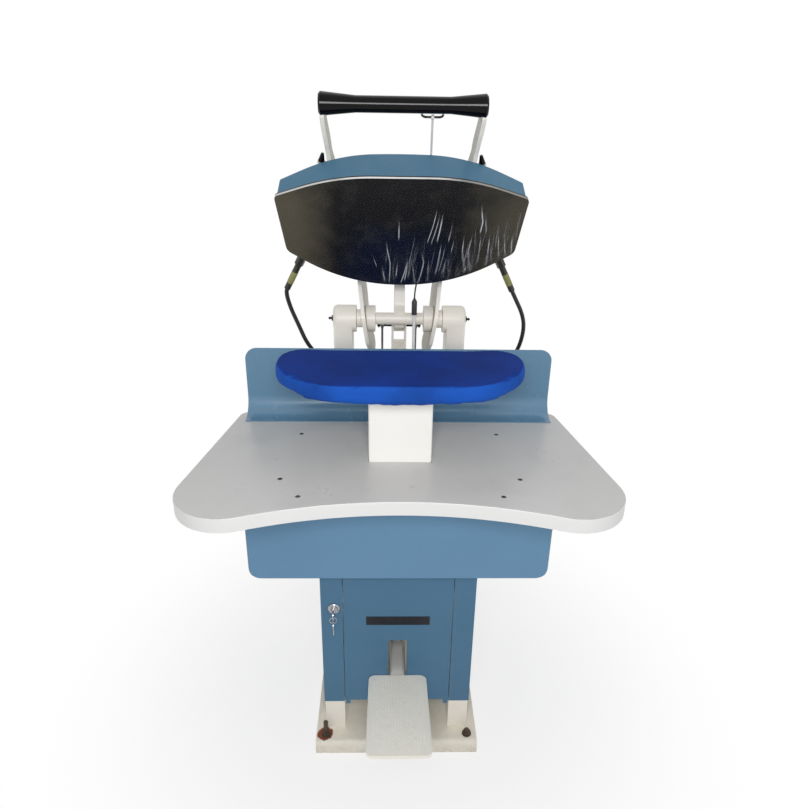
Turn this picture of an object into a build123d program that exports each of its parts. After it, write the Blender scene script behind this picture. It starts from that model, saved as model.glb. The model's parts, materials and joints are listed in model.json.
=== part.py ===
from build123d import *
import os
from math import atan2, cos, degrees, radians, sin, sqrt, tan

# Steam laundry press: a hinged head closes on a padded buck, worked by a foot pedal or by a handle.
# Millimetres. +X is to the operator's right, +Y points to the back, +Z up.
# The origin is on the floor, under the middle of the base. The rest pose is the open press.

# Base
base_width = 448
base_front = -266
base_rear = 256
base_height = 40
base_sheet = 5
base_bend = 14
stiffener_width = 80
level_bolt_r = 6
level_bolt_x = 197
level_bolt_front = -238
level_bolt_rear = 228
level_boss_r = 12
level_boss_height = 16
level_head_width = 19
level_head_height = 8
level_washer_r = 13
level_washer = 2.5
level_stud_over = 7
level_tall_over = 38

# Casing of painted sheet
casing_width = 400
casing_front = -215
casing_rear = 246
casing_bottom = 141
casing_top = 798
casing_sheet = 2
panel_half_width = 142.3
panel_seam = 1.5
panel_bottom = 146
panel_flange = 16
panel_tab_drop = 14
panel_tab_width = 12
panel_tab_inset = 2
pedal_slot_width = 50
pedal_slot_top = 358
slot_lip = 14
rear_return = 22
rear_panel_bottom = 160
rear_panel_top = 700
louvre_count = 8
louvre_pitch = 26
louvre_width = 200
louvre_height = 6
louvre_top = 640

# Posts, uprights and the welded support frame
post_width = 54
post_depth = 60
tube_wall = 4
post_top = 800
rail_size = 40
table_rail_half = 300
front_rail_y = -205
neck_rail_x = 45
upright_width = 48
upright_inner = 126
upright_depth = 110
upright_front = 122

# Pivot shaft and its bearings
pivot_y = 156
pivot_z = 1130
open_angle = 66
shaft_r = 12
housing_r = 36
housing_edge = 12
bush_wall = 6
running_fit = 0.04
sleeve_r = 16
hub_r = 35
hub_inner = 64
arm_plate = 10
housing_inner = 114.5
thrust_gap = 0.5
thrust_r = 24

# Table, apron and back panel
table_top_z = 880
table_thickness = 34
table_front_centre = -363
table_back = 98
table_front_arc = 1000
table_side_half = 442.5
table_side_slope = 0.18
table_corner_r = 115
table_rear_corner_r = 30
table_edge_round = 2
table_screw_r = 5
table_screw_places = ((251, -36), (274, -265), (225, -340))
bracket_thickness = 6
bracket_inner = 205
bracket_front = -355
apron_half = 371
apron_front = -244
apron_bottom = 584
apron_corner = 32
apron_bend = 10
back_panel_half = 408
back_panel_y = 96
back_panel_top = 1065
back_panel_corner = 32
cove_r = 50
strap_x = 330
strap_width = 40
strap_thickness = 3

# Neck and buck
neck_half = 75
neck_front = -184
neck_depth = 150
neck_top = 1062
neck_corner = 5
table_cutout_gap = 1
buck_top = 1109
pad_thickness = 14
pad_bottom = 1065
pad_edge_round = 17
pad_tuck_round = 9
casting_bottom = 1066
soft_gap = 0.3

# Head, in the closed pose: u runs forward from the pivot and w up from it
shoe_face = -20
shoe_lip = 13
shoe_inset = 9
shoe_top = 10
shoe_front = 424.5
shoe_front_flat = 150
shoe_rear = 130
shoe_rear_flat = 130
shoe_corner_u = 376
shoe_corner_x = 290
shoe_rear_corner_u = 230
shoe_rear_corner_x = 275
cover_inset = 4
cover_sheet = 2
cover_top = 99
cover_end_drop = 40
cover_edge_round = 4
insulation_gap = 3
insulation_height = 42
cross_bar_size = 32
front_bar_u = 345
rear_bar_u = 175
stud_x = 100
stud_r = 7
stud_over_nut = 5
stud_nut_width = 22
stud_nut_height = 10.5
arm_plan = ((-130, 71), (-40, 90), (30, 98), (70, 106), (410, 175.5), (500, 181), (530, 181.5), (600, 181))
lever_width = 28
handle_u = 551
handle_w = 66
handle_half = 183
handle_end_r = 25
handle_r = 17.5
handle_cone = 80
handle_end_round = 4
cap_r = 8
cap_length = 20
cap_u = 390
cap_w = 94
cap_x = 191
cap_lean = 12
lug_plate = 8

# Pedal and linkage
pedal_axle_y = 40
pedal_axle_z = 180
pedal_axle_r = 10
pedal_tilt = 11
pedal_arm_width = 38
pedal_arm_height = 40
pedal_width = 152
pedal_length = 300
pedal_thickness = 12
pedal_rib = 10
pedal_start = 284
pedal_rear_arm = 165
link_pin_r = 6
link_pin_half = 60
link_radius = 57
link_open_drop = 33
fork_wall = 6
upper_fork_r = 18
upper_fork_slot = 50
upper_fork_depth = 74
lower_fork_r = 14
lower_fork_slot = 40
lower_fork_depth = 52
push_tube_r = 12
spring_rod_r = 3
spring_rod_x = 46
spring_plate_z = 880
spring_plate = 8
spring_length = 170
spring_r = 17
spring_wire = 5
spring_washer = 3
stop_bar_r = 10
stop_rubber_r = 15
stop_rubber_half = 11

# Steam line
pipe_r = 8.55
riser_side_gap = 1.95
riser_y = 180
riser_bottom = 300
riser_top = 925
stub_out = 40
stub_r = 10.65
stub_bore_r = 6.5
stub_bore_depth = 34
clamp_heights = (460, 680)
hose_r = 5.5
ferrule_r = 8
hose_nut_width = 20
fitting_x = 238
fitting_u = 206
fitting_w = 2.5
fitting_splay = 25.5
fitting_boss = 6
fitting_nut = 30
fitting_ferrule = 84

# Hand steam control
trigger_x = 65
trigger_reach = 30
trigger_width = 52
trigger_bar_r = 2.6
trigger_pin_u = 522
trigger_pin_w = 71
rod_r = 2.5
rod_over_cover = 4
guide_wall = 5
rod_x = 68
rod_end_u = 152
lower_rod_x = 38
lower_rod_y = 118
lower_rod_r = 4
clevis_low = 1153
clevis_high = 1196
valve_top = 900
cable_r = 2

# Nameplate and key switch
plate_width = 166
plate_height = 27
plate_z = 425
switch_from_side = 34
switch_z = 466
switch_r = 15.5
barrel_r = 9
ring_r = 9
ring_wire_r = 1.1
ring_hole_r = 2.4

riser_x = casing_width / 2 - casing_sheet - riser_side_gap - pipe_r
switch_x = switch_from_side - casing_width / 2
rod_w = cover_top + rod_over_cover
cross_bar_w = rod_w + rod_r + 1.5 + cross_bar_size / 2

PIVOT = Axis((0, pivot_y, pivot_z), (1, 0, 0))
SIDES = (-1, 1)
nodes = {}


def block(x, y, z):
    """A box from three (low, high) spans."""
    size = [high - low for low, high in (x, y, z)]
    middle = [(high + low) / 2 for low, high in (x, y, z)]
    return Pos(*middle) * Box(*size)


def rod(start, end, radius):
    """A round bar between two points."""
    start, end = Vector(*start), Vector(*end)
    plane = Plane(origin=start, z_dir=end - start)
    return extrude(plane * Circle(radius), (end - start).length)


def hexagon(start, end, across_flats):
    """A hexagonal bar between two points."""
    start, end = Vector(*start), Vector(*end)
    plane = Plane(origin=start, z_dir=end - start)
    return extrude(plane * RegularPolygon(across_flats / 2, 6, major_radius=False), (end - start).length)


def side_plate(points, radii, x_low, x_high):
    """A plate cut to a rounded outline of (y, z) points, between two x values."""
    outline = make_face(FilletPolyline(*points, radius=radii, close=True))
    return extrude(Plane.YZ.offset(x_low) * outline, x_high - x_low)


def closed(u, w):
    """The (y, z) place of a head point with the head closed."""
    return (pivot_y - u, pivot_z + w)


def opened(shape):
    """The shape of a head piece turned from the closed pose to the open rest pose."""
    return shape.rotate(PIVOT, -open_angle)


def open_point(x, u, w):
    """Where a head point lies in the open rest pose."""
    turn = radians(open_angle)
    ahead = u * cos(turn) - w * sin(turn)
    above = u * sin(turn) + w * cos(turn)
    return (x, pivot_y - ahead, pivot_z + above)


def hose_path(points):
    """Straight runs joined by arcs of 0.45 of the shorter run over the tangent of half the turn."""
    vectors = [Vector(*p) for p in points]
    radii = []
    for before, corner, after in zip(vectors, vectors[1:], vectors[2:]):
        arrive, leave = corner - before, after - corner
        half_turn = radians(arrive.get_angle(leave)) / 2
        radii.append(0.45 * min(arrive.length, leave.length) / tan(half_turn))
    return FilletPolyline(*points, radius=radii), radii


def tube(points, radius, name):
    """A round tube along a free route, with its arc radii printed."""
    path, radii = hose_path(points)
    print(name, "length", round(path.length, 1), "arc radii", [round(r) for r in radii])
    profile = Plane(origin=path @ 0, z_dir=path % 0) * Circle(radius)
    solid = sweep(profile, path=path)
    print(name, "volume over section times length", round(solid.volume / (3.14159265 * radius**2 * path.length), 4))
    return solid


def bent_pipe(points, radius, bend):
    """A rigid pipe with equal bends."""
    path = FilletPolyline(*points, radius=bend)
    profile = Plane(origin=path @ 0, z_dir=path % 0) * Circle(radius)
    return sweep(profile, path=path)


def save(name, *shapes):
    """Keep the solids of a node."""
    solids = [solid for shape in shapes for solid in shape.solids()]
    nodes[name] = Compound(solids) if len(solids) > 1 else solids[0]


def mirrored(shape):
    return mirror(shape, Plane.YZ)


# Base plate with rounded front and rear bends, open underneath, on a box stiffener
base_half = base_width / 2


def make_base():
    outer = block((-base_half, base_half), (base_front, base_rear), (0, base_height))
    long_edges = outer.edges().filter_by(Axis.X).group_by(Axis.Z)[-1]
    outer = fillet(long_edges, base_bend)
    inner = block(
        (-base_half + base_sheet, base_half - base_sheet),
        (base_front + base_sheet, base_rear - base_sheet),
        (-1, base_height - base_sheet),
    )
    inner = fillet(inner.edges().filter_by(Axis.X).group_by(Axis.Z)[-1], base_bend - base_sheet)
    shell = outer - inner
    half = stiffener_width / 2
    span = base_half - base_sheet
    beam = block((-span, span), (-half, half), (0, base_height - base_sheet))
    beam -= block((-span - 1, span + 1), (-half + base_sheet, half - base_sheet), (base_sheet, base_height))
    shell += beam
    for x in (-level_bolt_x, level_bolt_x):
        for y in (level_bolt_front, level_bolt_rear):
            boss = rod((x, y, base_height - base_sheet - level_boss_height), (x, y, base_height), level_boss_r)
            shell += boss
            shell -= rod((x, y, -1), (x, y, base_height + 1), level_bolt_r)
    return shell


save("base_plate", make_base())

bolts = []
for x in (-level_bolt_x, level_bolt_x):
    for y in (level_bolt_front, level_bolt_rear):
        seat = base_height
        washer = rod((x, y, seat), (x, y, seat + level_washer), level_washer_r)
        head_low = seat + level_washer
        head = hexagon((x, y, head_low), (x, y, head_low + level_head_height), level_head_width)
        tall = x < 0 and y == level_bolt_front
        shank_top = head_low + level_head_height + (level_tall_over if tall else level_stud_over)
        shank = rod((x, y, 1), (x, y, shank_top), level_bolt_r)
        bolts.append(washer + head + shank)
save("levelling_bolts", *bolts)

# Front posts: box tubes that show below the casing
post_front = casing_front + casing_sheet
post_outer = casing_width / 2 - casing_sheet
switch_hole_r = barrel_r + soft_gap


def make_post(side):
    x = sorted((side * (post_outer - post_width), side * post_outer))
    post = block(x, (post_front, post_front + post_depth), (base_height, post_top))
    inner_x = (x[0] + tube_wall, x[1] - tube_wall)
    inner_y = (post_front + tube_wall, post_front + post_depth - tube_wall)
    post -= block(inner_x, inner_y, (base_height - 1, post_top - tube_wall))
    if side < 0:
        post -= rod((switch_x, post_front - 1, switch_z), (switch_x, post_front + 10, switch_z), switch_hole_r)
    return post


save("left_post", make_post(-1))
save("right_post", make_post(1))

# Rear uprights with the bearing housings for the pivot shaft
upright_outer = upright_inner + upright_width
housing_outer = upright_outer + 2
bush_r = shaft_r + bush_wall


def make_upright():
    x = (upright_inner, upright_outer)
    y = (upright_front, upright_front + upright_depth)
    column = block(x, y, (base_height, pivot_z))
    column -= block(
        (x[0] + tube_wall, x[1] - tube_wall),
        (y[0] + tube_wall, y[1] - tube_wall),
        (base_height - 1, pivot_z - housing_r - 6),
    )
    shoulder = upright_depth - (pivot_y - upright_front)
    slope = [(y[1] + 1, pivot_z + 1), (y[1] + 1, pivot_z - shoulder), (pivot_y + housing_r, pivot_z + 1)]
    column -= side_plate(slope, [0, 0, 0], x[0] - 1, x[1] + 1)
    housing = rod((housing_inner, pivot_y, pivot_z), (housing_outer, pivot_y, pivot_z), housing_r)
    outer_edge = housing.edges().filter_by(GeomType.CIRCLE).sort_by(Axis.X)[-1]
    housing = fillet(outer_edge, housing_edge)
    upright = column + housing
    upright -= rod((housing_inner - 1, pivot_y, pivot_z), (housing_outer - 8, pivot_y, pivot_z), bush_r)
    return upright


def add_clamps(upright):
    """Saddles welded to the upright that hold the riser."""
    for z in clamp_heights:
        clamp = block((upright_outer, riser_x + pipe_r + 1), (riser_y - 14, riser_y + 14), (z - 8, z + 8))
        upright += clamp - rod((riser_x, riser_y, z - 9), (riser_x, riser_y, z + 9), pipe_r)
    return upright


right_upright = add_clamps(make_upright())
save("right_upright", right_upright)
save("left_upright", mirrored(right_upright))

bush = rod((housing_inner, pivot_y, pivot_z), (housing_outer - 8, pivot_y, pivot_z), bush_r)
bush -= rod((housing_inner - 1, pivot_y, pivot_z), (housing_outer, pivot_y, pivot_z), shaft_r + running_fit)
save("bearing_bushes", bush, mirrored(bush))

nipple_seat = (housing_outer, pivot_y, pivot_z)
nipple = hexagon(nipple_seat, (housing_outer + 5, pivot_y, pivot_z), 14)
nipple += rod((housing_outer + 5, pivot_y, pivot_z), (housing_outer + 9, pivot_y, pivot_z), 3)
nipple += Pos(housing_outer + 10, pivot_y, pivot_z) * Sphere(3.8)
save("grease_nipples", nipple, mirrored(nipple))

# Welded support frame under the table
rail_low = post_top - rail_size
rail_mid = post_top - rail_size / 2
front_beam_y = (casing_front + panel_flange, casing_front + panel_flange + rail_size)
rear_beam_y = (upright_front + 8, upright_front + 8 + rail_size)
post_inner = post_outer - post_width


def hollow_beam(x, y, z, along):
    """A square tube along X or Y."""
    beam = block(x, y, z)
    if along == "x":
        core = block((x[0] - 1, x[1] + 1), (y[0] + 3, y[1] - 3), (z[0] + 3, z[1] - 3))
    else:
        core = block((x[0] + 3, x[1] - 3), (y[0] - 1, y[1] + 1), (z[0] + 3, z[1] - 3))
    return beam - core


beam_z = (rail_low, post_top)
frame_pieces = [
    hollow_beam((-post_inner, post_inner), front_beam_y, beam_z, "x"),
    hollow_beam((-upright_inner, upright_inner), rear_beam_y, beam_z, "x"),
]
neck_rail = hollow_beam(
    (neck_rail_x - rail_size / 2, neck_rail_x + rail_size / 2), (front_beam_y[1], rear_beam_y[0]), beam_z, "y"
)
frame_pieces += [neck_rail, mirrored(neck_rail)]
table_rail_z = (post_top, post_top + rail_size)
front_rail_span = (front_rail_y - rail_size / 2, front_rail_y + rail_size / 2)
rear_rail_span = (upright_front - rail_size, upright_front)
rail_x = (-table_rail_half, table_rail_half)
frame_pieces += [
    hollow_beam(rail_x, front_rail_span, table_rail_z, "x"),
    hollow_beam(rail_x, rear_rail_span, table_rail_z, "x"),
]
table_bottom = table_top_z - table_thickness
bracket = block((bracket_inner, table_rail_half), (bracket_front, table_back), (table_bottom - bracket_thickness, table_bottom))
for screw_x, screw_y in table_screw_places:
    bracket -= rod((screw_x, screw_y, table_bottom - 20), (screw_x, screw_y, table_bottom + 1), table_screw_r - 1)
frame_pieces += [bracket, mirrored(bracket)]


# Casing: two bent side panels, a front panel with the pedal slot and a louvred rear panel
def make_side_panel():
    outer = casing_width / 2
    height = casing_top - casing_bottom
    pillar_inner = panel_half_width + panel_seam
    points = [
        (pillar_inner, casing_front),
        (outer, casing_front),
        (outer, casing_rear),
        (outer - rear_return, casing_rear),
        (outer - rear_return, casing_rear - casing_sheet),
        (outer - casing_sheet, casing_rear - casing_sheet),
        (outer - casing_sheet, casing_front + casing_sheet),
        (pillar_inner, casing_front + casing_sheet),
    ]
    bend = casing_sheet / 2
    radii = [0, bend, bend, 0, 0, 0, 0, 0]
    outline = make_face(FilletPolyline(*points, radius=radii, close=True))
    return extrude(Plane.XY.offset(casing_bottom) * outline, height)


right_side = make_side_panel()
save("right_side_panel", right_side)
left_side = mirrored(right_side)
switch_clear = rod((switch_x, casing_front - 1, switch_z), (switch_x, casing_front + 5, switch_z), switch_hole_r)
save("left_side_panel", left_side - switch_clear)


def make_front_panel():
    half = panel_half_width
    front = (casing_front, casing_front + casing_sheet)
    panel = block((-half, half), front, (panel_bottom, casing_top))
    slot_half = pedal_slot_width / 2
    panel -= block((-slot_half, slot_half), (casing_front - 1, casing_front + 5), (panel_bottom - 1, pedal_slot_top))
    for side in SIDES:
        flange_x = sorted((side * half, side * (half - casing_sheet)))
        flange_y = (casing_front, casing_front + panel_flange)
        panel += block(flange_x, flange_y, (panel_bottom, casing_top))
        tab_x = sorted((side * (half - panel_tab_inset), side * (half - panel_tab_inset - panel_tab_width)))
        panel += block(tab_x, front, (panel_bottom - panel_tab_drop, panel_bottom))
        lip_x = sorted((side * slot_half, side * (slot_half + casing_sheet)))
        panel += block(lip_x, (casing_front, casing_front + slot_lip), (panel_bottom, pedal_slot_top))
    return panel


front_panel = make_front_panel()
post_clear = block((-post_outer, -post_inner), (post_front, post_front + post_depth), (base_height, post_top))
save("front_panel", front_panel - post_clear - mirrored(post_clear))


def make_rear_panel():
    half = casing_width / 2 - casing_sheet - 1
    y = (casing_rear - 2 * casing_sheet, casing_rear - casing_sheet)
    panel = block((-half, half), y, (rear_panel_bottom, rear_panel_top))
    for index in range(louvre_count):
        z = louvre_top - index * louvre_pitch
        panel -= block((-louvre_width / 2, louvre_width / 2), (y[0] - 1, y[1] + 1), (z, z + louvre_height))
    for side in SIDES:
        panel -= rod((side * riser_x, y[0] - 1, riser_bottom), (side * riser_x, y[1] + 1, riser_bottom), pipe_r + 1)
    return panel


save("rear_panel", make_rear_panel())
for name, side in (("left_side_panel", -1), ("right_side_panel", 1)):
    hole = rod((side * riser_x, casing_rear - 5, riser_bottom), (side * riser_x, casing_rear + 5, riser_bottom), pipe_r + 1)
    save(name, nodes[name] - hole)

screw_heads = []
for side in SIDES:
    for z in (rear_panel_bottom + 20, rear_panel_top - 20):
        screw_heads.append(rod((side * riser_x, casing_rear, z), (side * riser_x, casing_rear + 3, z), 5))
save(
    "nameplate",
    block((-plate_width / 2, plate_width / 2), (casing_front - 1.5, casing_front), (plate_z - plate_height / 2, plate_z + plate_height / 2)),
)

# Key switch on the left pillar, with its key and a spare on the ring
switch_face = casing_front - 7
switch = rod((switch_x, casing_front, switch_z), (switch_x, casing_front - 5, switch_z), switch_r)
switch = chamfer(switch.edges().filter_by(GeomType.CIRCLE).sort_by(Axis.Y)[0], 2)
switch += rod((switch_x, casing_front - 5, switch_z), (switch_x, switch_face, switch_z), barrel_r)
switch += rod((switch_x, casing_front, switch_z), (switch_x, casing_front + 30, switch_z), barrel_r)
key_slot_depth = 12
key_thickness = 2.4
key_slot = block(
    (switch_x - key_thickness / 2 - 0.3, switch_x + key_thickness / 2 + 0.3),
    (switch_face - 1, switch_face + key_slot_depth + 0.3),
    (switch_z - 4.3, switch_z + 4.3),
)
turn_well = rod((switch_x, switch_face - 1, switch_z), (switch_x, switch_face + key_slot_depth + 0.3, switch_z), 5)
save("key_switch", switch - turn_well)
plug = rod((switch_x, switch_face, switch_z), (switch_x, switch_face + key_slot_depth, switch_z), 5 - running_fit)
blade = block(
    (switch_x - key_thickness / 2, switch_x + key_thickness / 2),
    (switch_face - 9, switch_face + key_slot_depth),
    (switch_z - 4, switch_z + 4),
)
bow_y = switch_face - 20
bow = rod((switch_x - key_thickness / 2, bow_y, switch_z), (switch_x + key_thickness / 2, bow_y, switch_z), 12.5)
ring_hole_z = switch_z - 7
bow -= rod((switch_x - 5, bow_y, ring_hole_z), (switch_x + 5, bow_y, ring_hole_z), ring_hole_r)
save("switch_key", plug - key_slot, blade + bow)
ring_hang = ring_hole_r - ring_wire_r - soft_gap
ring_centre = (switch_x, bow_y, ring_hole_z - ring_hang - ring_r)
ring = Plane(origin=ring_centre, z_dir=(0, 1, 0)) * Torus(ring_r, ring_wire_r)
spare_top = ring_hole_z - 2 * (ring_hang + ring_r)
spare_bow = rod((switch_x - 1.2, bow_y, spare_top - 6), (switch_x + 1.2, bow_y, spare_top - 6), 11)
spare_bow -= rod((switch_x - 5, bow_y, spare_top), (switch_x + 5, bow_y, spare_top), ring_hole_r)
spare_blade = block((switch_x - 1.2, switch_x + 1.2), (bow_y - 3.5, bow_y + 3.5), (spare_top - 36, spare_top - 14))
save("key_ring", ring, spare_bow + spare_blade)


# Table of laminated board, with a hollowed front edge and rounded wings
def make_table():
    side_front_y = -500
    for _ in range(40):
        side_x = table_side_half - table_side_slope * side_front_y
        side_front_y = table_front_centre - table_front_arc + sqrt(table_front_arc**2 - side_x**2)
    side_x = table_side_half - table_side_slope * side_front_y
    back_x = table_side_half - table_side_slope * table_back
    front = ThreePointArc((-side_x, side_front_y), (0, table_front_centre), (side_x, side_front_y))
    rest = Polyline((side_x, side_front_y), (back_x, table_back), (-back_x, table_back), (-side_x, side_front_y))
    outline = make_face([front, rest])
    corners = outline.vertices().group_by(Axis.Y)[0]
    outline = fillet(corners, table_corner_r)
    rear_corners = outline.vertices().group_by(Axis.Y)[-1]
    outline = fillet(rear_corners, table_rear_corner_r)
    board = extrude(Plane.XY.offset(table_bottom) * outline, table_thickness)
    board = fillet(board.edges().group_by(Axis.Z)[-1], table_edge_round)
    gap = table_cutout_gap
    board -= block(
        (-neck_half - gap, neck_half + gap), (neck_front - gap, neck_front + neck_depth + gap), (0, table_top_z + 1)
    )
    for x, y in table_screw_places:
        for side in SIDES:
            board -= rod((side * x, y, table_bottom - 1), (side * x, y, table_top_z + 1), table_screw_r - 1)
            board -= rod((side * x, y, table_top_z - 3), (side * x, y, table_top_z + 1), table_screw_r + 1)
    return board


save("table_top", make_table())
screws = []
for x, y in table_screw_places:
    for side in SIDES:
        head = rod((side * x, y, table_top_z - 3), (side * x, y, table_top_z), table_screw_r + 1)
        head -= hexagon((side * x, y, table_top_z - 2), (side * x, y, table_top_z + 1), 4)
        shank = rod((side * x, y, table_bottom - 12), (side * x, y, table_top_z - 3), table_screw_r - 1)
        nut_low = table_bottom - bracket_thickness - 7
        nut = hexagon((side * x, y, nut_low), (side * x, y, nut_low + 7), 13)
        screws.append(head + shank + nut)
save("table_screws", *screws)


# Apron: a bent sheet round the front and sides, its lower corners rounded
def make_apron():
    top = table_bottom - bracket_thickness
    outer = block((-apron_half, apron_half), (apron_front, table_back), (apron_bottom, top))
    bends = outer.edges().filter_by(Axis.Z).group_by(Axis.Y)[0]
    outer = fillet(bends, apron_bend)
    inner = block(
        (-apron_half + casing_sheet, apron_half - casing_sheet),
        (apron_front + casing_sheet, table_back + 1),
        (apron_bottom - 1, top + 1),
    )
    inner = fillet(inner.edges().filter_by(Axis.Z).group_by(Axis.Y)[0], apron_bend - casing_sheet)
    window = Pos(0, (apron_bottom + top + 100) / 2) * RectangleRounded(
        2 * apron_half, top + 100 - apron_bottom, apron_corner
    )
    depth = table_back - apron_front + 2
    keep = extrude(Plane.XZ.offset(-table_back - 1) * window, depth)
    return (outer - inner) & keep


save("apron", make_apron())


# Coved back panel that stands on the rear of the table
def make_back_panel():
    t = casing_sheet
    foot_y = back_panel_y - cove_r
    low = table_top_z
    centre = (foot_y, low + cove_r)
    root = sqrt(0.5)
    front_mid = (centre[0] + cove_r * root, centre[1] - cove_r * root)
    back_mid = (centre[0] + (cove_r + t) * root, centre[1] - (cove_r + t) * root)
    lift = t
    shape = make_face([
        Line((foot_y - 12, low), (foot_y - 12, low + t)),
        Line((foot_y - 12, low + t), (foot_y, low + t)),
        ThreePointArc((foot_y, low + t), (front_mid[0], front_mid[1] + lift), (back_panel_y, low + cove_r + t)),
        Line((back_panel_y, low + cove_r + t), (back_panel_y, back_panel_top)),
        Line((back_panel_y, back_panel_top), (back_panel_y + t, back_panel_top)),
        Line((back_panel_y + t, back_panel_top), (back_panel_y + t, low + cove_r + t)),
        ThreePointArc((back_panel_y + t, low + cove_r + t), (back_mid[0], back_mid[1] + lift), (foot_y, low)),
        Line((foot_y, low), (foot_y - 12, low)),
    ])
    panel = extrude(Plane.YZ.offset(-back_panel_half) * shape, 2 * back_panel_half)
    corners = panel.edges().filter_by(Axis.Y).group_by(Axis.Z)[-1]
    return fillet(corners, back_panel_corner)


back_panel = make_back_panel()
panel_rear = back_panel_y + casing_sheet
for side in SIDES:
    x = (side * strap_x - strap_width / 2, side * strap_x + strap_width / 2)
    back_panel += block(x, (panel_rear, panel_rear + strap_thickness), (table_bottom + 4, table_top_z + 90))
    for z in (table_bottom + 16, table_top_z + 76):
        screw_heads.append(rod((side * strap_x, panel_rear + strap_thickness, z),
                               (side * strap_x, panel_rear + strap_thickness + 3, z), 5))
save("back_panel", back_panel)
save("panel_screws", *screw_heads)

# Neck: a square column through the table that carries the buck
neck_y = (neck_front, neck_front + neck_depth)
neck_outer = block((-neck_half, neck_half), neck_y, (post_top, neck_top))
neck_outer = fillet(neck_outer.edges().filter_by(Axis.Z), neck_corner)
neck_inner = block(
    (-neck_half + tube_wall, neck_half - tube_wall),
    (neck_y[0] + tube_wall, neck_y[1] - tube_wall),
    (post_top - 1, neck_top - 8),
)
neck_flange = block((-neck_half - 20, neck_half + 20), neck_y, (post_top, post_top + 8))
buck_pipe_r = 6.75
buck_pipe_x = 12
neck_mid_y = neck_front + neck_depth / 2
neck = neck_outer + neck_flange - neck_inner
for side in SIDES:
    neck -= rod((side * buck_pipe_x, neck_mid_y, post_top), (side * buck_pipe_x, neck_mid_y, neck_top + 1), buck_pipe_r + 1)
save("neck", neck)

# Buck: gently bowed front edge, broad front corners, smaller rear corners and a straight rear edge
buck_half_outline = ((192, -266), (300, -150), (285, -20))
buck_corner_radii = (150, 130, 65)
buck_front_y = -272
buck_front_r = 1400


def symmetric_face(middle, half, radii, middle_r):
    """A face from the points of its right half, with an optional first point on the middle line."""
    left = [(-x, y) for x, y in half[::-1]]
    points = list(middle) + list(half) + left
    all_radii = [middle_r] * len(middle) + list(radii) + list(radii[::-1])
    return make_face(FilletPolyline(*points, radius=all_radii, close=True))


def buck_outline(inset):
    """The buck's plan shape, drawn in by an equal inset."""
    face = symmetric_face([(0, buck_front_y)], buck_half_outline, buck_corner_radii, buck_front_r)
    return offset(face, -inset, kind=Kind.ARC) if inset else face


def make_pad():
    skin = extrude(Plane.XY.offset(pad_bottom) * buck_outline(0), buck_top - pad_bottom)
    skin = fillet(skin.edges().group_by(Axis.Z)[-1], pad_edge_round)
    skin = fillet(skin.edges().group_by(Axis.Z)[0], pad_tuck_round)
    pocket_top = buck_top - pad_thickness
    pocket = extrude(Plane.XY.offset(pad_bottom - 1) * buck_outline(pad_thickness), pocket_top - pad_bottom + 1)
    return skin - pocket


save("buck_pad", make_pad())
casting_top = buck_top - pad_thickness - soft_gap
casting = extrude(Plane.XY.offset(casting_bottom) * buck_outline(pad_thickness + soft_gap), casting_top - casting_bottom)
casting += block((-neck_half, neck_half), neck_y, (neck_top, casting_bottom))
casting = casting.solids()[0]
save("buck_casting", casting)


def make_buck_pipe():
    low = rail_low - 30
    turn_y = 60
    route = [
        (buck_pipe_x, neck_mid_y, neck_top),
        (buck_pipe_x, neck_mid_y, low),
        (buck_pipe_x, turn_y, low),
        (riser_x, turn_y, low),
        (riser_x, riser_y - 4, low),
    ]
    return bent_pipe(route, buck_pipe_r, 25)


buck_pipe = make_buck_pipe()
riser_core = rod((riser_x, riser_y, riser_bottom), (riser_x, riser_y, riser_top), pipe_r)
save("buck_pipes", buck_pipe - riser_core, mirrored(buck_pipe - riser_core))


# Head shoe: cast plate with a polished lip, ports for the hoses and bosses for the studs
def shoe_outline(inset):
    """The head's plan shape in closed world coordinates, drawn in by an equal inset."""
    half = (
        (shoe_front_flat, shoe_front),
        (shoe_corner_x, shoe_corner_u),
        (shoe_rear_corner_x, shoe_rear_corner_u),
        (shoe_rear_flat, shoe_rear),
    )
    points = [(x, pivot_y - u) for x, u in half]
    face = symmetric_face([], points, (500, 10, 25, 400), 0)
    return offset(face, -inset, kind=Kind.ARC) if inset else face


splay = radians(fitting_splay)


def fitting_point(side, distance):
    """A closed-pose point along a hose fitting's axis, from its port at the rear corner."""
    x = side * (fitting_x + distance * sin(splay))
    y, z = closed(fitting_u - distance * cos(splay), fitting_w)
    return (x, y, z)


stud_places = [(side * stud_x, u) for u in (front_bar_u, rear_bar_u) for side in SIDES]


def make_shoe():
    low = pivot_z + shoe_face
    lip = extrude(Plane.XY.offset(low) * shoe_outline(0), shoe_lip)
    body = extrude(Plane.XY.offset(low + shoe_lip) * shoe_outline(shoe_inset), shoe_top - shoe_face - shoe_lip)
    shoe = lip + body
    for side in SIDES:
        shoe += rod(fitting_point(side, -35), fitting_point(side, fitting_boss), hose_nut_width / 2)
    for x, u in stud_places:
        y, _ = closed(u, 0)
        shoe -= rod((x, y, pivot_z + shoe_top - 14), (x, y, pivot_z + shoe_top + 1), stud_r)
    return shoe


shoe_closed = make_shoe()
save("head_shoe", opened(shoe_closed))


# Head cover: a deep tray of sheet, crowned from side to side
def crowned(inset, top_w, low_w):
    half = shoe_corner_x - cover_inset
    radius = (half**2 + cover_end_drop**2) / (2 * cover_end_drop) + (top_w - cover_top)
    block_up = extrude(Plane.XY.offset(pivot_z + low_w) * shoe_outline(inset), cover_top + 20 - low_w)
    y_low, _ = closed(shoe_front + 60, 0)
    y_high, _ = closed(shoe_rear - 60, 0)
    axis_z = pivot_z + top_w - radius
    return block_up & rod((0, y_low, axis_z), (0, y_high, axis_z), radius)


cover_low = shoe_face + shoe_lip


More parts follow.
